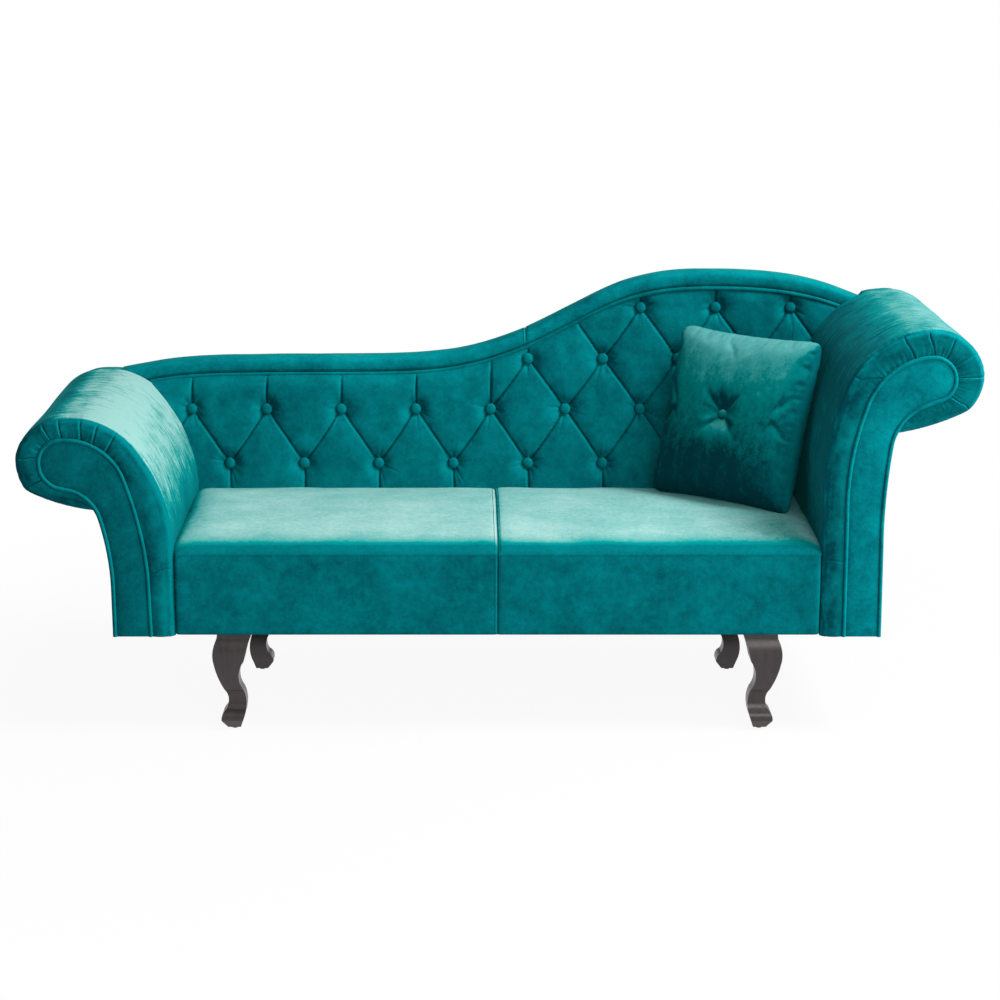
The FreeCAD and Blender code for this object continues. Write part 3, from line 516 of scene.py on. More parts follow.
# Rolls: painted highlight over their tops and painted shade on their front bands; the right roll is painted
# lighter.
velvet_left_roll = velvet_material(
    "velvet_left_roll", (20.0, 150.0, 20.0), streak=0.34, front_painted_shade=0.85,
    highlight_way=(0.52, -0.1, 0.85), highlight_from=0.64, highlight_to=0.95, painted_highlight_colour=(0.36, 0.67, 0.63, 1))
velvet_right_roll = velvet_material(
    "velvet_right_roll", (20.0, 150.0, 20.0), streak=0.38, painted_light=1.35, front_painted_shade=0.6,
    highlight_way=(0.3, -0.1, 0.95), highlight_from=0.66, highlight_to=1.12, painted_highlight_colour=(0.26, 0.58, 0.56, 1))
# Seat: its painted highlight dies out towards its right end, a painted shadow of the right arm and the pillow.
velvet_seat = velvet_material(
    "velvet_seat", (4.0, 9.0, 4.0), streak=0.14, cloudy=0.45,
    highlight_from=0.55, highlight_to=1.02, painted_highlight_colour=(0.46, 0.74, 0.70, 1), fade=((1.0, 0.0, 0.0), 0.3, 0.62, 0.1))
# Rim painted lighter: painted light.
velvet_rim = velvet_material("velvet_rim", painted_light=1.35, highlight_from=0.75, highlight_to=1.3, painted_highlight_colour=(0.14, 0.52, 0.52, 1))
# Shaded and lit copies of the velvet, for the left and right arms' fronts: painted shade and painted light.
velvet_painted_shade = velvet_material("velvet_painted_shade", painted_light=0.85)
velvet_painted_light = velvet_material("velvet_painted_light", painted_light=1.35)
# Pillow painted darker, with its highlight dying out towards its bottom: painted shade.
velvet_pillow = velvet_material(
    "velvet_pillow", (60.0, 60.0, 20.0), streak=0.15, painted_light=0.7, cloudy=0.6, front_painted_highlight=1.0,
    highlight_way=(-0.25, -0.3, 0.92), highlight_from=0.35, highlight_to=1.15, painted_highlight_colour=(0.14, 0.46, 0.45, 1),
    fade=((0.0, 0.0, -1.0), -0.66, -0.4, 0.35))
thread = plain_material("thread", (0.0, 0.045, 0.055, 1), (0.0, 0.085, 0.095, 1), 0.7, 800.0)
thread.node_tree.nodes["Principled BSDF"].inputs["Specular IOR Level"].default_value = 0.05


# Arms

class Arm:
    """The outlines of one scroll arm in the XZ plane: the padding's, from the foot over the roll to the stem,
    and the facing's, from the foot round the scroll to the outer foot. Both are given in millimetres outward
    from the seat and down from the arm's top, as lines (end,) and arcs (middle, end). Each pleat runs from a
    place at the padding's edge to one at the piping, and the seam between two heights."""

    def __init__(self, name, side, pad, face, pleats, seam):
        self.name = name
        self.seam = seam
        self.side = side
        self.top = arm_tops[side]
        height = (self.top - foot) / MM
        points = self.placed(trace((0, height), pad))
        self.pad = Path(np.stack([smoothed(points[:, 0], 51), smoothed(points[:, 1], 51)], -1))
        self.face = Path(self.placed(trace((face[0], height), face[1] + [((face[2], height),)])))
        self.pleats = [[self.placed(np.array([p]))[0] for p in pleat] for pleat in pleats]

    def placed(self, points):
        """Points given as (outward, drop) in millimetres, in the XZ plane."""
        points = np.asarray(points, float) * MM
        return np.stack([self.side * (half_seat + points[:, 0]), self.top - points[:, 1]], -1)

    def outward(self, path, s, reach=3 * MM):
        return path.normal(s, reach) * self.side


left_arm = Arm(
    "left", -1,
    [((1, 264),), ((18, 156), (59, 77)), ((107, 26), (172, 0)), ((204, 0),), ((272, 25), (303, 80)),
     ((299, 114), (286, 144)), ((220, 171), (149, 185))],
    (44, [((48, 309),), ((66, 197), (93, 110)), ((132, 62), (192, 39)), ((211, 39),), ((245, 53), (259, 86)),
          ((250, 119), (221, 141)), ((196, 146),), ((163, 166), (144, 199)), ((129, 266), (123, 339))], 122),
    [((249, 9), (231, 40)), ((172, 1), (172, 44)), ((102, 28), (125, 68)), ((302, 78), (257, 76)),
     ((287, 145), (250, 121)), ((215, 12), (208, 40)), ((140, 14), (150, 52))],
    (0.336, 0.326),
)
right_arm = Arm(
    "right", 1,
    [((1, 366),), ((9, 226), (42, 104)), ((94, 40), (165, 4)), ((208, 0),), ((272, 28), (303, 92)),
     ((295, 130), (276, 159)), ((212, 186), (139, 204))],
    (43, [((42, 366),), ((52, 229), (73, 151)), ((118, 82), (193, 50)), ((203, 50),),
          ((235, 64), (249, 97)), ((238, 127), (210, 143)), ((195, 149),), ((158, 172), (131, 223)),
          ((121, 315), (118.5, 431))], 120),
    [((248, 3), (233, 43)), ((144, 16), (165, 53)), ((302, 92), (252, 93)), ((276, 159), (241, 136)),
     ((56, 93), (109, 95)), ((192, 11), (203, 43)), ((284, 45), (246, 66))],
    (0.354, 0.350),
)
arms = (left_arm, right_arm)


def arm_padding(arm):
    """The padded inside cover: along the roll, rounded over the front edge, pleated towards the piping."""
    count = int(arm.pad.length / (1.6 * MM))
    s = np.linspace(0, arm.pad.length, count)
    outer = arm.pad.at(s)
    outward = arm.outward(arm.pad, s, 6 * MM)
    partner = np.array([arm.face.nearest(point) for point in outer])
    partner = smoothed(np.minimum(np.maximum.accumulate(partner), partner[-1]), 43)
    inner = arm.face.at(partner)
    under_cord = inner - arm.outward(arm.face, partner) * 3 * MM

    roll_start = arm.pad.nearest(arm.placed(np.array([[30, 120]]))[0])
    gathered = np.clip((s - roll_start) / (60 * MM), 0, 1) * np.clip((arm.pad.length - s) / (30 * MM), 0, 1)
    wave = noise_line(s, 17 * MM, 11 + arm.side, 2) * gathered

    def band(v):
        """Height of the front band over its plane, v from the outer edge (0) to the piping (1)."""
        lift = band_puff * math.sin(math.pi * min(v * 0.9 + 0.08, 1.0)) * np.ones(count)
        lift += 1.0 * MM * wave * v ** 1.5
        for start, end in pleat_lines:
            gap = s - start - (end - start) * v
            lift -= 4.6 * MM * np.exp(-(gap / (1.9 * MM)) ** 2) * (0.6 + 0.4 * v)
            beside = np.exp(-np.clip(gap, 0, 1) / (10 * MM)) * (1 - np.exp(-np.abs(gap) / (1.5 * MM)))
            lift += 2.0 * MM * beside * (gap > 0)
        gap = s - seam_line[0] - (seam_line[1] - seam_line[0]) * v
        lift -= 1.8 * MM * np.exp(-(gap / (1.4 * MM)) ** 2)
        return lift

    pleat_lines = []
    for near, far in arm.pleats:
        end = np.argmin(np.linalg.norm(inner - far, axis=1))
        pleat_lines.append((arm.pad.nearest(near), s[end]))
    near, far = arm.seam
    end = np.argmin(np.linalg.norm(inner - np.array([arm.side * (half_seat + 45 * MM), far]), axis=1))
    seam_line = (arm.pad.nearest((arm.side * half_seat, near)), s[end])

    rows = []
    front_straight = arm_front + edge_round
    for v in (0.0, 0.5, 1.0):
        rows.append((inner * (1 - v) + (outer - outward * rear_round) * v, arm_rear))
    for turn in np.linspace(0, math.pi / 2, 4)[1:]:
        inset = rear_round * (1 - math.sin(turn))
        rows.append((outer - outward * inset, arm_rear - rear_round * (1 - math.cos(turn))))
    ys = np.linspace(arm_rear - rear_round, front_straight, 62)[1:]
    for y in ys:
        swell = 0.8 * MM * noise_plane(s, y, 220 * MM, 21 + arm.side, 2)
        near_front = math.exp(-(y - front_straight) / (30 * MM))
        swell = swell + 0.25 * MM * wave * near_front - 0.8 * MM
        rows.append((outer + outward * swell[:, None], y))
    for turn in np.linspace(0, math.pi / 2, 8)[1:]:
        inset = edge_round * (1 - math.cos(turn))
        pull = 0.25 * MM * wave * math.cos(turn) - 0.8 * MM * math.cos(turn)
        y = front_straight - edge_round * math.sin(turn)
        lift = band(0.0) * math.sin(turn) ** 2
        rows.append((outer - outward * (inset - pull)[:, None], y - lift))
    start = outer - outward * edge_round
    width = np.linalg.norm(inner - start, axis=1)
    facing_way = ((inner - start) * -outward).sum(1) > 0
    start = np.where(((width > 2 * MM) & facing_way)[:, None], start, inner + outward * 2 * MM)
    for v in np.linspace(0, 1, 19)[1:]:
        rows.append((start + (under_cord - start) * v, arm_front - band(v)))
    rows.append((under_cord, arm_front + 12 * MM))
    vertices, faces = loft(np.stack([xyz(p[:, 0], y, p[:, 1]) for p, y in rows], 1))
    # Each roll has its own painted light: the right one is painted lighter.
    roll = velvet_left_roll if arm.side < 0 else velvet_right_roll
    mesh_piece(arm.name + "_arm_padding", vertices, faces, roll,
               replaces=(arm.name + "_arm_inside_cover", arm.name + "_arm_foam"))


def arm_facing(arm):
    """The flat front panel inside the piping, slightly padded."""
    s = np.arange(0, arm.face.length, 2.5 * MM)
    line = arm.face.at(s) - arm.outward(arm.face, s) * 4.5 * MM
    line = line[line[:, 1] > foot + 1 * MM]
    outline = np.concatenate([line, [(line[-1][0], foot), (line[0][0], foot)]])

    def rise(points, distance):
        soft = 1 - np.exp(-distance / (9 * MM))
        drape = noise_plane(points[:, 0], points[:, 1], 150 * MM, 31, 2)
        return -4.0 * MM * soft - 0.5 * MM * drape * soft

    vertices, faces = panel(outline, arm_front - 1.5 * MM, 7 * MM, 5 * MM, rise)
    # Painted shade on the left arm's front, painted light on the right arm's front.
    painted_light = velvet_painted_shade if arm.side < 0 else velvet_painted_light
    mesh_piece(arm.name + "_arm_facing_panel", vertices, faces, painted_light,
               replaces=(arm.name + "_arm_facing",))


def arm_piping(arm):
    """The corded edge round the facing, with the flat seam beside it."""
    s = np.arange(0, arm.face.length, 3 * MM)
    middle = arm.face.at(s) - arm.outward(arm.face, s) * piping
    middle[[0, -1], 1] = foot + 0.5 * MM
    cord = xyz(middle[:, 0], arm_front - 3.2 * MM, middle[:, 1])
    vertices, faces = tube(cord, piping + 0.2 * MM, 14)
    # The right cord carries painted light.
    mesh_piece(arm.name + "_arm_cord", vertices, faces, velvet if arm.side < 0 else velvet_painted_light,
               replaces=(arm.name + "_arm_piping",))


def arm_outside(arm):
    """The outside cover, from under the roll down the stem, turned over the rear board's edge."""
    begin = arm.face.nearest(arm.pad.points[-1])
    s = np.linspace(begin - 4 * MM, arm.face.length, 130)
    line = arm.face.at(s)
    outward = arm.outward(arm.face, s)
    rows = []
    y_front = arm_front + 2 * MM
    for y in np.linspace(y_front, arm_rear - 1 * MM, 50):
        soft = 1.2 * MM * noise_plane(s, y, 220 * MM, 41 + arm.side, 2)
        edge = math.exp(-(y - y_front) / (6 * MM))
        rows.append(((2.2 * MM + soft * (1 - edge) - 1.5 * MM * edge)[:, None], 0.0, y))
    rows.append((2.0 * MM, 0.0, arm_rear))
    rows.append((1.2 * MM, 14 * MM, arm_rear + 0.6 * MM))
    rings = []
    for over, under, y in rows:
        points = np.concatenate([line + outward * over, (line - outward * under)[::-1]])
        rings.append(xyz(points[:, 0], y, points[:, 1]))
    vertices, faces = loft(rings)
    mesh_piece(arm.name + "_arm_outside", vertices, faces, velvet,
               replaces=(arm.name + "_arm_outside_cover",))


# Seat

def seat_top(x, w):
    """(y, z) of the seat's cover at x, w from its rear (0) to the seam under the front edge (1)."""
    side = np.clip((half_seat - np.abs(x)) / (60 * MM), 0, 1)
    crown = seat_side_crown + (seat_crown - seat_side_crown) * (1 - (1 - side) ** 2)
    rear_y = seat_line + 22 * MM
    front_y = seat_front + seat_round * (1 - math.sin(seat_slope))
    y = rear_y + (front_y - rear_y) * np.clip(w / seat_flat, 0, 1)
    middle = (front_y + seat_line) / 2
    rise = 1 - ((y - middle) / (seat_line - middle)) ** 2
    run = np.clip((seat_line - y) / (seat_line - front_y), 0, 1)
    base = seat_line_height + (seat_edge - seat_line_height) * run
    z = base + (crown - seat_line_height) * np.sign(rise) * np.abs(rise) ** 0.8 * 1.15
    shoulder = 7 * MM * np.exp(-(y - front_y) / (16 * MM))
    z = z - shoulder + 1 * MM
    turn = seat_slope + np.clip((w - seat_flat) / (1 - seat_flat), 0, 1) * (math.radians(76) - seat_slope)
    y = y - seat_round * (np.sin(turn) - math.sin(seat_slope))
    z = z - seat_round * (math.cos(seat_slope) - np.cos(turn))
    return y, z


def seat_groove(x):
    """Depth of the groove at the seat's middle seam."""
    return 3.4 * MM * math.exp(-abs(x) / (3.0 * MM)) + 1.8 * MM * math.exp(-abs(x) / (16 * MM))


def seat_drape(x, y, seed):
    """Unevenness of the seat's cover."""
    return 1.3 * MM * noise_plane(x, y, 260 * MM, seed, 2)


def border_face(x, z):
    """Y of the seat's upright front, apart from its seams."""
    down = (seam_height - z) / (seam_height - foot)
    bulge = np.sin(math.pi * down)
    return seat_front - 2.2 * MM * bulge ** 0.6 + 1.2 * MM * noise_plane(x, z, 240 * MM, 53, 2) * bulge


def seat_panel(name, x0, x1, seed, nodes):
    """Half of the seat: its cover with rounded edges and a shallow groove at the seams, and the foam below."""
    xs = x0 + (x1 - x0) * 0.5 * (1 - np.cos(np.linspace(0, math.pi, 110)))
    ws = np.concatenate([np.linspace(0, seat_flat, 62), np.linspace(seat_flat, 1, 12)[1:]])
    under = ((seat_front + 9 * MM, seam_height - 3 * MM), (seat_front + 24 * MM, seam_height - 8 * MM),
             (seat_front + 26 * MM, deck_height), (seat_line + 22 * MM, deck_height))
    rings = []
    for x in xs:
        y, z = seat_top(x, ws)
        groove = seat_groove(x)
        side = 5.5 * MM * math.exp(-(half_seat - abs(x)) / (9 * MM))
        soft = seat_drape(x, y, seed)
        up = np.clip((1 - ws) / 0.1, 0, 1)
        z = z - (groove + side) * (0.35 + 0.65 * up) + soft * up
        y = y + (groove + side) * (1 - up) * 0.8
        rings.append(np.concatenate([xyz(x, y, z), [(x, y, z) for y, z in under]]))
    vertices, faces = loft(np.array(rings))
    mesh_piece(name, vertices, faces, velvet_seat, replaces=nodes)


def seat_border():
    """The upright front of the seat with a seam in its middle, and a rolled lower edge."""
    half = half_seat - 0.3 * MM
    quarter = np.linspace(0, math.pi / 2, 90)
    xs = np.concatenate([-half * np.cos(quarter), half * np.sin(quarter)[1:], np.arange(-12, 12.1, 1) * MM])
    xs = np.unique(np.round(xs, 6))
    zs = np.linspace(seam_height - 0.8 * MM, foot + 7 * MM, 44)
    turn = np.linspace(0, math.pi / 2, 6)[1:]
    rear = ((20, foot + 1 * MM), (20, foot + 9 * MM), (20.5, seam_height - 10 * MM), (8, seam_height - 4 * MM))
    rings = []
    for x in xs:
        groove = 2.6 * MM * math.exp(-(x / (1.3 * MM)) ** 2) + 0.8 * MM * math.exp(-abs(x) / (6 * MM))
        side = 4 * MM * math.exp(-(half - abs(x)) / (3 * MM))
        seam = 3.2 * MM * np.exp(-(seam_height - zs) / (3.0 * MM))
        y = border_face(x, zs) + groove + side + seam
        rings.append(np.concatenate([
            xyz(x, y, zs), xyz(x, y[-1] + hem_round * (1 - np.cos(turn)), zs[-1] - hem_round * np.sin(turn)),
            [(x, seat_front + depth * MM, z) for depth, z in rear]]))
    vertices, faces = loft(np.array(rings))
    mesh_piece("seat_border", vertices, faces, velvet,
               replaces=("seat_border_cover", "seat_border_padding"))


# Back

back_rise = ((-682, -0.05), (-545, -0.01), (-331, 0.0), (-160, 0.02), (-75, 0.075), (11, 0.2), (96, 0.395),
             (181, 0.635), (265, 0.847), (350, 0.965), (453, 1.0), (563, 0.98), (690, 0.86))
back_left_end = -half_seat - 164 * MM
back_right_end = half_seat + 144 * MM


def natural_spline(xs, ys):
    """A smooth curve through points, as a function."""
    n = len(xs)
    h = np.diff(xs)
    system = np.eye(n)
    right = np.zeros(n)
    for i in range(1, n - 1):
        system[i, i - 1:i + 2] = h[i - 1], 2 * (h[i - 1] + h[i]), h[i]
        right[i] = 6 * ((ys[i + 1] - ys[i]) / h[i] - (ys[i] - ys[i - 1]) / h[i - 1])
    bend = np.linalg.solve(system, right)

    def value(x):
        x = np.asarray(x, float)
        i = np.clip(np.searchsorted(xs, x) - 1, 0, n - 2)
        a = (xs[i + 1] - x) / h[i]
        b = (x - xs[i]) / h[i]
        return (a * ys[i] + b * ys[i + 1]
                + ((a ** 3 - a) * bend[i] + (b ** 3 - b) * bend[i + 1]) * h[i] ** 2 / 6)

    return value


def top_line():
    xs = [back_left_end] + [x * MM for x, _ in back_rise] + [back_right_end]
    zs = [back_low_top + share * (back_high_top - back_low_top) for _, share in back_rise]
    return natural_spline(np.array(xs), np.array([arm_tops[-1] - 3 * MM] + zs + [arm_tops[1] - 19 * MM]))


curve = top_line()


def lean(z):
    """Y of the crests of the buttoned back at a height."""
    return seat_line + lean_slope * (z - lean_foot)


def arm_surface(x):
    """Height of the arms' padding above the seat at x, or under the seat between the arms."""
    x = np.asarray(x, float)
    height = np.full(x.shape, seat_line_height - 14 * MM)
    for arm in arms:
        up = arm.pad.points[:np.argmax(arm.pad.points[:, 1]) + 1]
        reach = arm.side * up[:, 0] - half_seat
        beyond = arm.side * x - half_seat
        order = np.argsort(reach)
        found = np.interp(beyond, reach[order], up[order, 1])
        height = np.where(beyond > reach.min(), np.maximum(height, found - 10 * MM), height)
    return height


class Tufts:
    """Buttons of the back and the folds between them."""

    def __init__(self):
        self.spots = {}
        for row, z in enumerate(tuft_rows):
            for column in range(-10, 11):
                x = tuft_origin + column * tuft_pitch
                if (column + row) % 2 == 0 or z + button_radius > curve(x) - rim_height:
                    continue
                if arm_surface(x) + 16 * MM > z and abs(x) > half_seat + 10 * MM:
                    continue
                if abs(x) < half_seat + 25 * MM:
                    self.spots[column, row] = np.array([x, z])
        self.folds = []
        for (column, row), spot in self.spots.items():
            ups = [self.spots.get((column + way, row + 1)) for way in (-1, 1)]
            alone = ups[0] is None and ups[1] is None
            for way, other in zip((-1, 1), ups):
                if other is not None:
                    self.folds.append((spot, other))
                elif alone or (row < 2 and way < 0):
                    self.folds.append((spot, spot + np.array([0.0, 230 * MM])))
                else:
                    self.folds.append((spot, spot + np.array([way * tuft_pitch, 108 * MM])))
            if row == 0:
                self.folds.append((spot, spot - np.array([0.0, 120 * MM])))
            elif (column - 1, row - 1) not in self.spots or (column + 1, row - 1) not in self.spots:
                for way in (-1, 1):
                    if (column + way, row - 1) not in self.spots:
                        self.folds.append((spot, spot + np.array([way * tuft_pitch, -110 * MM])))

    def rise(self, x, z):
        """How far the cloth lies behind its crests."""
        fold = np.full(x.shape, 1e3)
        step = np.zeros(x.shape)
        for a, b in self.folds:
            way = b - a
            size = way @ way
            t = np.clip(((x - a[0]) * way[0] + (z - a[1]) * way[1]) / size, 0, 1)
            bend = 1.6 * MM * np.sin(math.pi * t)
            dx = x - a[0] - t * way[0] - bend
            dz = z - a[1] - t * way[1]
            d = np.hypot(dx, dz)
            closer = d < fold
            side = np.sign(way[0] * dz - way[1] * dx) * (1 if way[0] >= 0 else -1)
            step = np.where(closer, side * np.exp(-d / (5 * MM)), step)
            fold = np.minimum(fold, d)
        button = np.full(x.shape, 1e3)
        creases = np.zeros(x.shape)
        for (column, row), spot in self.spots.items():
            dx, dz = x - spot[0], z - spot[1]
            r = np.hypot(dx, dz)
            closer = r < button
            angle = np.arctan2(dz, dx)
            draw = np.random.default_rng(100 + 13 * (column + 20) + row)
            waves = np.zeros(x.shape)
            for _ in range(3):
                waves += np.cos(draw.integers(3, 12) * angle + draw.uniform(0, 6.28)) * draw.uniform(0.3, 0.8)
            waves *= 0.6 * np.exp(-((r - 18 * MM) / (12 * MM)) ** 2)
            for _ in range(draw.integers(2, 6)):
                way = math.radians(draw.choice([-90, -90, 0, 180, 60]) + draw.uniform(-32, 32))
                off = np.abs((angle - way + math.pi) % (2 * math.pi) - math.pi)
                crease = np.exp(-(off * r / (2.4 * MM)) ** 2) * (off < 1)
                depth, reach = draw.uniform(1.0, 2.2), draw.uniform(12, 30) * MM
                waves += depth * crease * np.exp(-((r - 14 * MM) / reach) ** 2)
            creases = np.where(closer, waves, creases)
            button = np.minimum(button, r)
        back = 4.0 * MM * np.exp(-fold / (15 * MM)) + 4.2 * MM * np.exp(-(fold / (2.1 * MM)) ** 2)
        back += 10.5 * MM * np.exp(-(np.maximum(button - 9 * MM, 0) / (15 * MM)) ** 1.7)
        return back + 0.9 * MM * step + 0.8 * MM * creases


tufts = Tufts()


def buttoned_back():
    """The tufted face: one quilted slab from under the seat's rear edge up to the piping."""
    xs = np.arange(back_left_end + 38 * MM, back_right_end - 6 * MM, 1.7 * MM)
    low = arm_surface(xs)
    high = curve(xs) - rim_height - 1 * MM
    keep = high - low > 6 * MM
    xs, low, high = xs[keep], low[keep], high[keep]
    rows = 215
    v = np.linspace(0, 1, rows)
    x = xs[:, None] * np.ones(rows)
    z = low[:, None] + (high - low)[:, None] * v
    back = tufts.rise(x, z)
    soft = 1.0 * MM * noise_plane(x, z, 130 * MM, 61, 2)
    to_top = high[:, None] - z
    weld = back_front - 3 * MM - lean(z)
    edge = np.exp(-(to_top / (11 * MM)) ** 1.3)
    depth = back + soft
    depth = depth * (1 - edge) + np.maximum(weld, depth) * edge
    y = lean(z) + depth
    zb = low[:, None] + (high - low)[:, None] * np.linspace(1, 0, 6)
    rear = xyz(xs[:, None], np.maximum(lean(zb) + tuft_backing, y[:, -1:] + 4 * MM), zb)
    vertices, faces = loft(np.concatenate([xyz(x, y, z), rear], 1))
    mesh_piece("buttoned_back", vertices, faces, velvet_back,
               replaces=("back_tufted_cover", "back_foam"), sharp=60)


def covered_button(radius, height, seed):
    """A cloth-covered button facing -Y round the origin, its cloth gathered at the rim."""
    sides = 40
    angles = 2 * math.pi * np.arange(sides) / sides
    profile = ((0.72, -0.55), (0.9, -0.3), (1.0, 0.0), (1.0, 0.25), (0.95, 0.5), (0.84, 0.72), (0.66, 0.88),
               (0.42, 0.97))
    draw = np.random.default_rng(seed)
    gather = 0.0
    for count in (9, 14, 23):
        gather = gather + 0.018 * np.cos(count * angles + draw.uniform(0, 6.28))
    rings = []
    for share, rise in profile:
        r = radius * share * (1 + gather * np.clip(1.1 - rise, 0, 1))
        rings.append(xyz(r * np.cos(angles), -rise * height, r * np.sin(angles)))
    count = len(rings)
    points = np.concatenate(rings + [np.array([[0, -1.0 * height, 0]])])
    faces = ring_faces(count, sides)
    faces.append(tuple(range(sides)))
    tip = count * sides
    faces += [((count - 1) * sides + j, (count - 1) * sides + (j + 1) % sides, tip) for j in range(sides)]
    return points, faces


def back_button_set():
    """The covered buttons at all the tufts."""
    parts = []
    for (column, row), (x, z) in tufts.spots.items():
        points, faces = covered_button(button_radius, button_height, 200 + column + 30 * row)
        tilt = np.array(Matrix.Rotation(-math.atan(lean_slope), 3, "X"))
        points = points @ tilt.T + np.array([x, lean(z) + button_seat, z])
        parts.append((points, faces))
    vertices, faces = joined(parts)
    mesh_piece("back_button_set", vertices, faces, velvet_back, replaces=("back_buttons",))


def rim_section(t):
    """(y, drop) round the rim, t from under its front (0) over the top to under its rear (1)."""
    front, rear = back_front, back_rear
    knots = np.array([(front + 6 * MM, rim_height + 3 * MM), (front + 0.5 * MM, rim_height - 2 * MM),
                      (front - 2.6 * MM, 25 * MM), (front - 3.2 * MM, 16 * MM), (front - 1.6 * MM, 8.5 * MM),
                      (front + 3.5 * MM, 3.2 * MM), (front + 12 * MM, 0.7 * MM), (front + 25 * MM, -0.2 * MM),
                      (front + 40 * MM, 0.1 * MM), (rear - 14 * MM, 1.8 * MM), (rear - 5 * MM, 6.5 * MM),
                      (rear - 1.2 * MM, 14 * MM), (rear, 24 * MM), (rear - 0.5 * MM, rim_height + 1 * MM)])
    where = np.linspace(0, 1, len(knots))
    return natural_spline(where, knots[:, 0])(t), natural_spline(where, knots[:, 1])(t)


rim_xs = np.linspace(back_left_end - 3 * MM, back_right_end + 8 * MM, 900)
rim_path = Path(np.stack([rim_xs, curve(rim_xs)], -1))
rim_seam = rim_path.nearest((rim_join, float(curve(rim_join))))


def rim_rings(s, t):
    """Sections of the rim at the distances s, upright at the seam and square to the rim elsewhere."""
    y, drop = rim_section(t)
    rings = []
    for along, top, normal in zip(s, rim_path.at(s), rim_path.normal(s, 12 * MM)):
        away = abs(along - rim_seam)
        groove = 1.6 * MM * math.exp(-(away / (1.5 * MM)) ** 2) + 0.9 * MM * math.exp(-away / (9 * MM))
        soft = 0.4 * MM * noise_plane(along, t * 0.14, 160 * MM, 71, 2)
        inward = np.sin(math.pi * np.clip(t, 0.04, 0.96))
        centre = (back_front + back_rear) / 2
        ring_y = y + np.sign(centre - y) * groove * inward * np.clip(abs(centre - y) / (34 * MM), 0, 1)
        upright = math.exp(-(away / (45 * MM)) ** 2)
        way = normal * (1 - upright) + np.array([0.0, 1.0]) / normal[1] * upright
        points = top[None, :] - way[None, :] * (drop + groove * inward - soft * inward)[:, None]
        rings.append(xyz(points[:, 0], ring_y, points[:, 1]))
    return np.array(rings)


def rim_band():
    """The padded band along the top of the back, in two pieces with an upright seam between them."""
    extra = np.array([0.0, 0.8, 1.6, 2.4, 3.4, 5.0, 7.0, 10.0]) * MM
    ends = (("left", 0.0, rim_seam - 0.2 * MM), ("right", rim_seam + 0.2 * MM, rim_path.length))
    for name, s0, s1 in ends:
        s = np.linspace(s0, s1, int((s1 - s0) / (5 * MM)))
        s = np.unique(np.concatenate([s, s1 - extra if name == "left" else s0 + extra]))
        vertices, faces = loft(rim_rings(s, np.linspace(0, 1, 40)))
        mesh_piece(name + "_rim_band", vertices, faces, velvet_rim,
                               replaces=(name + "_back_rim_cover",))
    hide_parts("back_rim_padding")


def rim_stitches():
    """Rows beside the rim's upright seam and one row above the cord."""
    parts = []
    t = np.linspace(0.1, 0.6, 120)
    for way in (-1, 1):
        ring = rim_rings(np.array([rim_seam + way * rim_stitches_beside]), t)[0]
        ups = xyz(0.0, -np.cos(math.pi * t), np.sin(math.pi * t))
        parts += stitch_line(ring, ups)
    s = np.arange(60 * MM, rim_path.length - 60 * MM, 4 * MM)
    line = rim_rings(s, np.array([0.125, 0.13]))[:, 0]
    parts += stitch_line(line[line[:, 2] >= arm_surface(line[:, 0])], (0.0, -1.0, 0.0))
    vertices, faces = joined(parts)
    mesh_piece("rim_stitches", vertices, faces, thread)


def rim_piping():
    """The cord under the rim."""
    xs = np.arange(back_left_end + 30 * MM, back_right_end - 4 * MM, 5 * MM)
    xs = xs[curve(xs) - rim_height - 6 * MM > arm_surface(xs) + 4 * MM]
    cord = xyz(xs, back_front - 4.2 * MM, curve(xs) - rim_height - 3.5 * MM)
    vertices, faces = tube(cord, piping + 0.5 * MM, 14)
    mesh_piece("rim_cord", vertices, faces, velvet, replaces=("back_piping",))


def back_side_line(arm):
    """The outline of the back's end behind an arm, from its top under the rim round the scroll to the foot."""
    begin = arm.pad.nearest(arm.placed(np.array([[150 if arm.side > 0 else 165, 2]]))[0])
    s = np.arange(begin, arm.pad.length, 3 * MM)
    upper = arm.pad.at(s) - arm.outward(arm.pad, s, 6 * MM) * back_inset
    first = arm.face.nearest(arm.pad.points[-1])
    s = np.arange(first + 6 * MM, arm.face.length, 4 * MM)
    lower = arm.face.at(s) - arm.outward(arm.face, s) * back_inset
    lower = lower[lower[:, 1] > foot + 1 * MM]
    line = np.concatenate([upper, lower, [(lower[-1][0], foot)]])
    return np.stack([smoothed(line[:, 0], 5), smoothed(line[:, 1], 5)], -1)


def back_sides():
    """The side covers of the back behind the arms."""
    for arm in arms:
        line = back_side_line(arm)
        path = Path(line)
        outward = arm.outward(path, np.linspace(0, path.length, len(line)))
        bend = 5 * MM
        ys = [arm_rear + 1 * MM, *np.linspace(arm_rear + 4 * MM, back_rear - bend, 10)]
        rows = [(0.0, y) for y in ys]
        for turn in np.linspace(0, math.pi / 2, 5)[1:]:
            rows.append((bend * (1 - math.cos(turn)), back_rear - bend + bend * math.sin(turn)))
        rows += [(8 * MM, back_rear - 1 * MM), (8 * MM, arm_rear + 1 * MM)]
        shell = []
        for inset, y in rows:
            points = line - outward * inset
            shell.append(xyz(points[:, 0], y, points[:, 1]))
        vertices, faces = loft(np.stack(shell, 1))
        mesh_piece(arm.name + "_back_side", vertices, faces, velvet,
                   replaces=(arm.name + "_back_side_cover",))


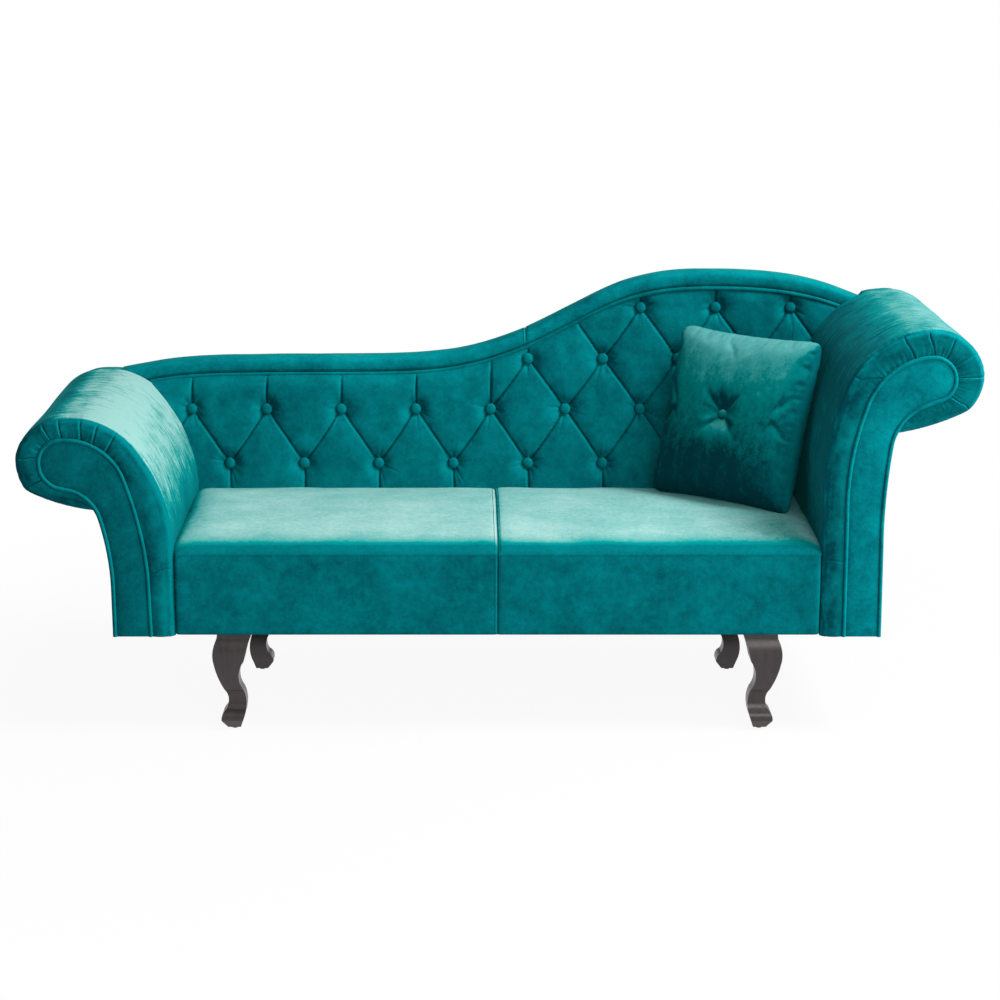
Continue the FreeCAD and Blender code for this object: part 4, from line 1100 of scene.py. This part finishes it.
def outer_back():
    """The flat cover over the back's rear, tacked under the rim and along the sides. A tab runs up behind the
    rim's right end, over the corner of the end board."""
    xs = np.arange(back_left_end, back_right_end, 6 * MM)
    top = np.stack([xs, curve(xs) - rim_height + 1 * MM], -1)
    tab = back_right_end + np.array([-4, 5]) * MM
    top = np.concatenate([top[top[:, 0] < tab[0] - 2 * MM], np.stack([tab, curve(tab) - 3 * MM], -1)])
    ends = []
    for arm in arms:
        line = back_side_line(arm)
        path = Path(line)
        line = line - arm.outward(path, np.linspace(0, path.length, len(line))) * 2.5 * MM
        line[-1, 1] = foot
        ends.append(line)
    left, right = ends[0][::-1], ends[1]
    beyond = left[:, 0] < xs[0] - 4 * MM
    stem = np.arange(len(left)) < len(left) // 2
    left = [left[stem & ~beyond], left[beyond]]
    beyond = right[:, 0] > tab[1]
    stem = np.arange(len(right)) >= len(right) // 2
    outline = np.concatenate([top, right[beyond], right[stem & ~beyond]] + left)
    keep = [0]
    for i in range(1, len(outline)):
        if np.linalg.norm(outline[i] - outline[keep[-1]]) > 1.2 * MM:
            keep.append(i)
    outline = outline[keep]

    def rise(points, distance):
        soft = 1 - np.exp(-distance / (12 * MM))
        return 1.2 * MM * soft + 0.8 * MM * noise_plane(points[:, 0], points[:, 1], 300 * MM, 81, 2) * soft

    vertices, faces = panel(outline, back_rear - 0.8 * MM, -2.5 * MM, 14 * MM, rise)
    mesh_piece("outer_back", vertices, faces, velvet, replaces=("outer_back_cover",))


# Stitching

def stitch_line(points, ups):
    """Short threads along a line of 3-D points, lifted along the given normals."""
    ups = np.broadcast_to(ups, points.shape)
    steps = np.linalg.norm(np.diff(points, axis=0), axis=1)
    along = np.concatenate([[0], np.cumsum(steps)])
    parts = []
    start = stitch_gap
    while start + stitch_length < along[-1]:
        places = []
        for share, lift in ((0, -0.5), (0.25, 0.35), (0.75, 0.35), (1, -0.5)):
            s = start + stitch_length * share
            place = np.array([np.interp(s, along, points[:, k]) for k in range(3)])
            up = np.array([np.interp(s, along, ups[:, k]) for k in range(3)])
            places.append(place + up * thread_radius * lift)
        parts.append(tube(places, thread_radius, 6))
        start += stitch_length + stitch_gap
    return parts


def seat_stitches():
    """Two rows beside the seat's middle seam and one row under its front edge."""
    parts = []
    ws = np.linspace(0.04, seat_flat, 120)
    for x, seed in ((-seat_stitches_beside, 51), (seat_stitches_beside, 52)):
        y, z = seat_top(x, ws)
        z = z - seat_groove(x) + seat_drape(x, y, seed)
        parts += stitch_line(xyz(x, y, z), (0.0, 0.0, 1.0))
    zs = np.linspace(seam_height - 6 * MM, foot + 4 * MM, 60)
    for x in (-border_stitches_beside, border_stitches_beside):
        parts += stitch_line(xyz(x, border_face(x, zs) + 0.8 * MM * math.exp(-5 / 6), zs), (0.0, -1.0, 0.0))
    xs = np.linspace(-half_seat + 6 * MM, half_seat - 6 * MM, 400)
    z = seam_height - border_stitches_below
    parts += stitch_line(xyz(xs, border_face(xs, z) + 3.2 * MM * math.exp(-5.5 / 3), z), (0.0, -1.0, 0.0))
    vertices, faces = joined(parts)
    mesh_piece("seat_stitches", vertices, faces, thread)


# Pillow

def pillow_shape():
    """Two square cloths sewn at their edges, blown up by simulation with the button held in."""
    cells = pillow_cells
    side = pillow_side * 1.045
    grid = np.linspace(-side / 2, side / 2, cells + 1)
    edge_noise = noise_line(grid, 34 * MM, 91, 2)
    index = {}
    vertices, faces, held = [], [], []
    for layer in (-1, 1):
        for i, a in enumerate(grid):
            for j, b in enumerate(grid):
                rim = i in (0, cells) or j in (0, cells)
                if rim and layer == 1:
                    index[layer, i, j] = index[-1, i, j]
                    continue
                u, v = 2 * a / side, 2 * b / side
                swell = (1 - u * u) * (1 - v * v)
                dip = pillow_dimple * math.exp(-(math.hypot(a, b) / (28 * MM)) ** 2)
                edge = (1 - max(abs(u), abs(v))) * side / 2
                pucker = edge_noise[i if abs(v) > abs(u) else j] * math.exp(-((edge - 9 * MM) / (11 * MM)) ** 2)
                depth = layer * (pillow_fullness * swell ** 0.4 - dip + (0 if rim else 2.4 * MM * pucker))
                corner = 9 * MM * max(0.0, (u * u + v * v - 1.5) / 0.5) ** 2
                wave = 1.3 * MM * edge_noise[i if abs(v) > abs(u) else j] * math.exp(-edge / (8 * MM))
                x = a * (1 - 0.03 * (1 - v * v)) - math.copysign(corner + (wave if abs(u) >= abs(v) else 0), a)
                z = b * (1 - 0.03 * (1 - u * u)) - math.copysign(corner + (wave if abs(v) > abs(u) else 0), b)
                index[layer, i, j] = len(vertices)
                if math.hypot(a, b) < 9 * MM:
                    held.append(len(vertices))
                vertices.append((x, depth, z))
        for i in range(cells):
            for j in range(cells):
                quad = [index[layer, i + a, j + b] for a, b in ((0, 0), (1, 0), (1, 1), (0, 1))]
                faces.append(tuple(quad if layer == -1 else reversed(quad)))
    mesh = bpy.data.meshes.new("pillow_cloth")
    mesh.from_pydata(vertices, [], faces)
    cloth = bpy.data.objects.new("pillow_cloth", mesh)
    bpy.context.scene.collection.objects.link(cloth)
    pins = cloth.vertex_groups.new(name="button")
    pins.add(held, 1.0, "REPLACE")
    modifier = cloth.modifiers.new("cloth", "CLOTH")
    settings = modifier.settings
    settings.quality = 8
    settings.mass = 0.2
    settings.tension_stiffness = 18
    settings.compression_stiffness = 18
    settings.shear_stiffness = 6
    settings.bending_stiffness = 0.15
    settings.use_pressure = True
    settings.uniform_pressure_force = 5.0
    settings.vertex_group_mass = "button"
    settings.effector_weights.gravity = 0
    modifier.collision_settings.use_collision = False
    modifier.collision_settings.use_self_collision = False
    scene = bpy.context.scene
    modifier.point_cache.frame_start = 1
    modifier.point_cache.frame_end = pillow_frames
    for number in range(1, pillow_frames + 1):
        scene.frame_set(number)
    depsgraph = bpy.context.evaluated_depsgraph_get()
    result = cloth.evaluated_get(depsgraph).to_mesh()
    points = np.array([v.co for v in result.vertices])
    scene.frame_set(1)
    bpy.data.objects.remove(cloth)
    start = np.array(vertices)
    move = points - start
    size = np.maximum(np.linalg.norm(move, axis=1, keepdims=True), 1e-9)
    return start + move / size * pillow_move * np.tanh(size / pillow_move), faces


def pillow():
    """The loose pillow in the corner, with a gathered edge and a button drawn into its middle."""
    points, faces = pillow_shape()
    size = points.max(0) - points.min(0)
    points[:, 0] *= pillow_side / size[0]
    points[:, 2] *= (pillow_side + 6 * MM) / size[2]
    points[:, 1] *= min(1.0, pillow_thickness / size[1])
    r = np.hypot(points[:, 0], points[:, 2])
    angle = np.arctan2(points[:, 2], points[:, 0])
    gathers = np.cos(5 * angle + 0.6) + 0.7 * np.cos(8 * angle + 2.1) + 0.5 * np.cos(13 * angle + 4.0)
    points[:, 1] *= 1 + 0.012 * gathers * np.exp(-((r - 24 * MM) / (22 * MM)) ** 2)
    creases = ((74, 62, 0.045), (97, 52, 0.04), (48, 40, 0.03), (128, 40, 0.03), (-60, 34, 0.03),
               (-115, 30, 0.03), (15, 30, 0.03), (165, 34, 0.03))
    for direction, reach, depth in creases:
        off = (angle - math.radians(direction) + math.pi) % (2 * math.pi) - math.pi
        crease = np.exp(-(off * r / (3.6 * MM)) ** 2) * (np.abs(off) < 1)
        crease *= np.exp(-(r / (reach * MM)) ** 2) * np.clip(r / (12 * MM) - 0.6, 0, 1)
        points[:, 1] *= 1 - depth * crease
    spin = Matrix.Rotation(pillow_yaw, 4, "Z") @ Matrix.Rotation(pillow_lean, 4, "X")
    low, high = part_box("pillow_cover")
    middle = (low + high) / 2 + Vector(pillow_shift)
    place = Matrix.Translation(middle) @ spin
    local = [place @ Vector(p) for p in points]
    piece = mesh_piece("pillow", local, faces, velvet_pillow, body="pillow", sharp=70,
                       replaces=("pillow_cover", "pillow_filling"))
    smooth = piece.modifiers.new("smooth", "SUBSURF")
    smooth.levels = smooth.render_levels = 1
    apply_modifiers(piece)

    parts = []
    depth = abs(points[r < 6 * MM, 1]).mean()
    for way in (-1, 1):
        button, quads = covered_button(pillow_button_radius, pillow_button_height, 300 + way)
        if way > 0:
            button = button * np.array([-1, -1, 1])
        button = button + np.array([0, way * depth, 0])
        parts.append(([place @ Vector(p) for p in button], quads))
    vertices, faces = joined(parts)
    mesh_piece("pillow_button_pair", vertices, faces, velvet_pillow, body="pillow",
               replaces=("pillow_buttons",))


def apply_modifiers(piece):
    """The piece's mesh as its modifiers leave it, with no modifier kept."""
    depsgraph = bpy.context.evaluated_depsgraph_get()
    mesh = bpy.data.meshes.new_from_object(piece.evaluated_get(depsgraph))
    piece.modifiers.clear()
    piece.data = mesh


# Finishes of the pieces carried over

def dress_frame():
    """Materials for every node that keeps its own shape."""
    stain = wood_material("stained_wood", (0.016, 0.009, 0.010, 1), (0.034, 0.021, 0.023, 1), 0.38, coat=0.2)
    beech = wood_material("beech", (0.48, 0.31, 0.17, 1), (0.62, 0.43, 0.26, 1), 0.6)
    ply = wood_material("plywood", (0.52, 0.38, 0.22, 1), (0.66, 0.52, 0.34, 1), 0.65)
    hardboard = plain_material("hardboard", (0.16, 0.09, 0.05, 1), (0.22, 0.13, 0.07, 1), 0.7, 300.0)
    foam = plain_material("foam", (0.62, 0.55, 0.38, 1), (0.72, 0.66, 0.48, 1), 0.9, 500.0, bump=0.5)
    webbing = plain_material("webbing", (0.16, 0.12, 0.07, 1), (0.24, 0.19, 0.12, 1), 0.85, 600.0, bump=0.5)
    black_cloth = plain_material("black_cloth", (0.008, 0.008, 0.008, 1), (0.02, 0.02, 0.02, 1), 0.9, 700.0)
    steel = plain_material("steel", (0.45, 0.45, 0.46, 1), (0.6, 0.6, 0.61, 1), 0.38, 200.0, metallic=1.0)
    nylon = plain_material("nylon", (0.012, 0.012, 0.013, 1), (0.022, 0.022, 0.024, 1), 0.45, 400.0)
    finishes = {"stained_wood": stain, "beech": beech, "plywood": ply, "hardboard": hardboard, "foam": foam,
                "pillow_filling": foam, "webbing": webbing, "black_cloth": black_cloth, "steel": steel,
                "nylon": nylon, "velvet": velvet}
    slots = {row["node"]: row["material_slot"] for row in frame["record"]["subparts"]}
    for name, node in frame["nodes"].items():
        node.data.materials.clear()
        node.data.materials.append(finishes[slots[name]])


# Floor, light and camera

def studio():
    scene = bpy.context.scene
    scene.view_settings.view_transform = "Standard"

    mesh = bpy.data.meshes.new("floor")
    mesh.from_pydata([(-14, -14, 0), (14, -14, 0), (14, 14, 0), (-14, 14, 0)], [], [(0, 1, 2, 3)])
    floor = bpy.data.objects.new("floor", mesh)
    scene.collection.objects.link(floor)
    m = Material("floor")
    socket_input(m.shader, Base_Color=(0.9, 0.9, 0.9, 1), Roughness=1.0, Specular_IOR_Level=0.0)
    ray = m.add("ShaderNodeLightPath").outputs
    bounced = m.maths("MAXIMUM", ray["Is Glossy Ray"], ray["Is Transmission Ray"])
    seen = m.maths("MAXIMUM", ray["Is Camera Ray"], bounced)
    away = m.add("ShaderNodeVectorMath", operation="LENGTH")
    m.link(m.place, away.inputs[0])
    share = m.maths("MULTIPLY", seen, m.ranged(away.outputs["Value"], 0.9, 2.0, 0.93, 1.0, kind="SMOOTHSTEP"))
    white = m.add("ShaderNodeEmission")
    blend = m.add("ShaderNodeMixShader")
    for source, target in zip((share, m.shader.outputs[0], white.outputs[0]), blend.inputs):
        m.link(source, target)
    m.link(blend.outputs[0], m.tree.nodes["Material Output"].inputs["Surface"])
    mesh.materials.append(m.material)

    world = bpy.data.worlds.new("world")
    scene.world = world
    world.use_nodes = True
    tree = world.node_tree
    light = tree.nodes["Background"]
    backdrop = tree.nodes.new("ShaderNodeBackground")
    for node, strength in ((light, world_level), (backdrop, 1.0)):
        socket_input(node, Color=(1, 1, 1, 1), Strength=strength)
    ray = tree.nodes.new("ShaderNodeLightPath").outputs
    seen = tree.nodes.new("ShaderNodeMath")
    seen.operation = "MAXIMUM"
    blend = tree.nodes.new("ShaderNodeMixShader")
    for source, target in ((ray["Is Camera Ray"], seen.inputs[0]), (ray["Is Transmission Ray"], seen.inputs[1]),
                           (seen.outputs[0], blend.inputs[0]), (light.outputs[0], blend.inputs[1]),
                           (backdrop.outputs[0], blend.inputs[2]),
                           (blend.outputs[0], tree.nodes["World Output"].inputs["Surface"])):
        tree.links.new(source, target)

    for name, place, wide, deep, power in lamps:
        light = bpy.data.lights.new(name, "AREA")
        light.shape = "RECTANGLE"
        light.size = wide
        light.size_y = deep
        light.energy = power
        lamp = bpy.data.objects.new(name, light)
        lamp.location = place
        lamp.rotation_euler = (Vector(lamp_target) - Vector(place)).to_track_quat("-Z", "Y").to_euler()
        scene.collection.objects.link(lamp)

    data = bpy.data.cameras.new("camera")
    data.sensor_width = 36
    data.lens = 90
    data.shift_x = 0.035
    camera = bpy.data.objects.new("camera", data)
    camera.location = (-0.06344, -5.00446, 1.56368)
    camera.rotation_euler = (math.radians(90 - 13.0616), 0, 0)
    scene.collection.objects.link(camera)
    scene.camera = camera


def main():
    dress_frame()
    for arm in arms:
        arm_padding(arm)
        arm_facing(arm)
        arm_piping(arm)
        arm_outside(arm)
    seat_panel("left_seat", -half_seat - 1 * MM, -0.15 * MM, 51, ("left_seat_cover", "seat_foam"))
    seat_panel("right_seat", 0.15 * MM, half_seat + 1 * MM, 52, ("right_seat_cover",))
    seat_border()
    buttoned_back()
    back_button_set()
    rim_band()
    rim_piping()
    rim_stitches()
    back_sides()
    outer_back()
    seat_stitches()
    pillow()
    studio()


main()
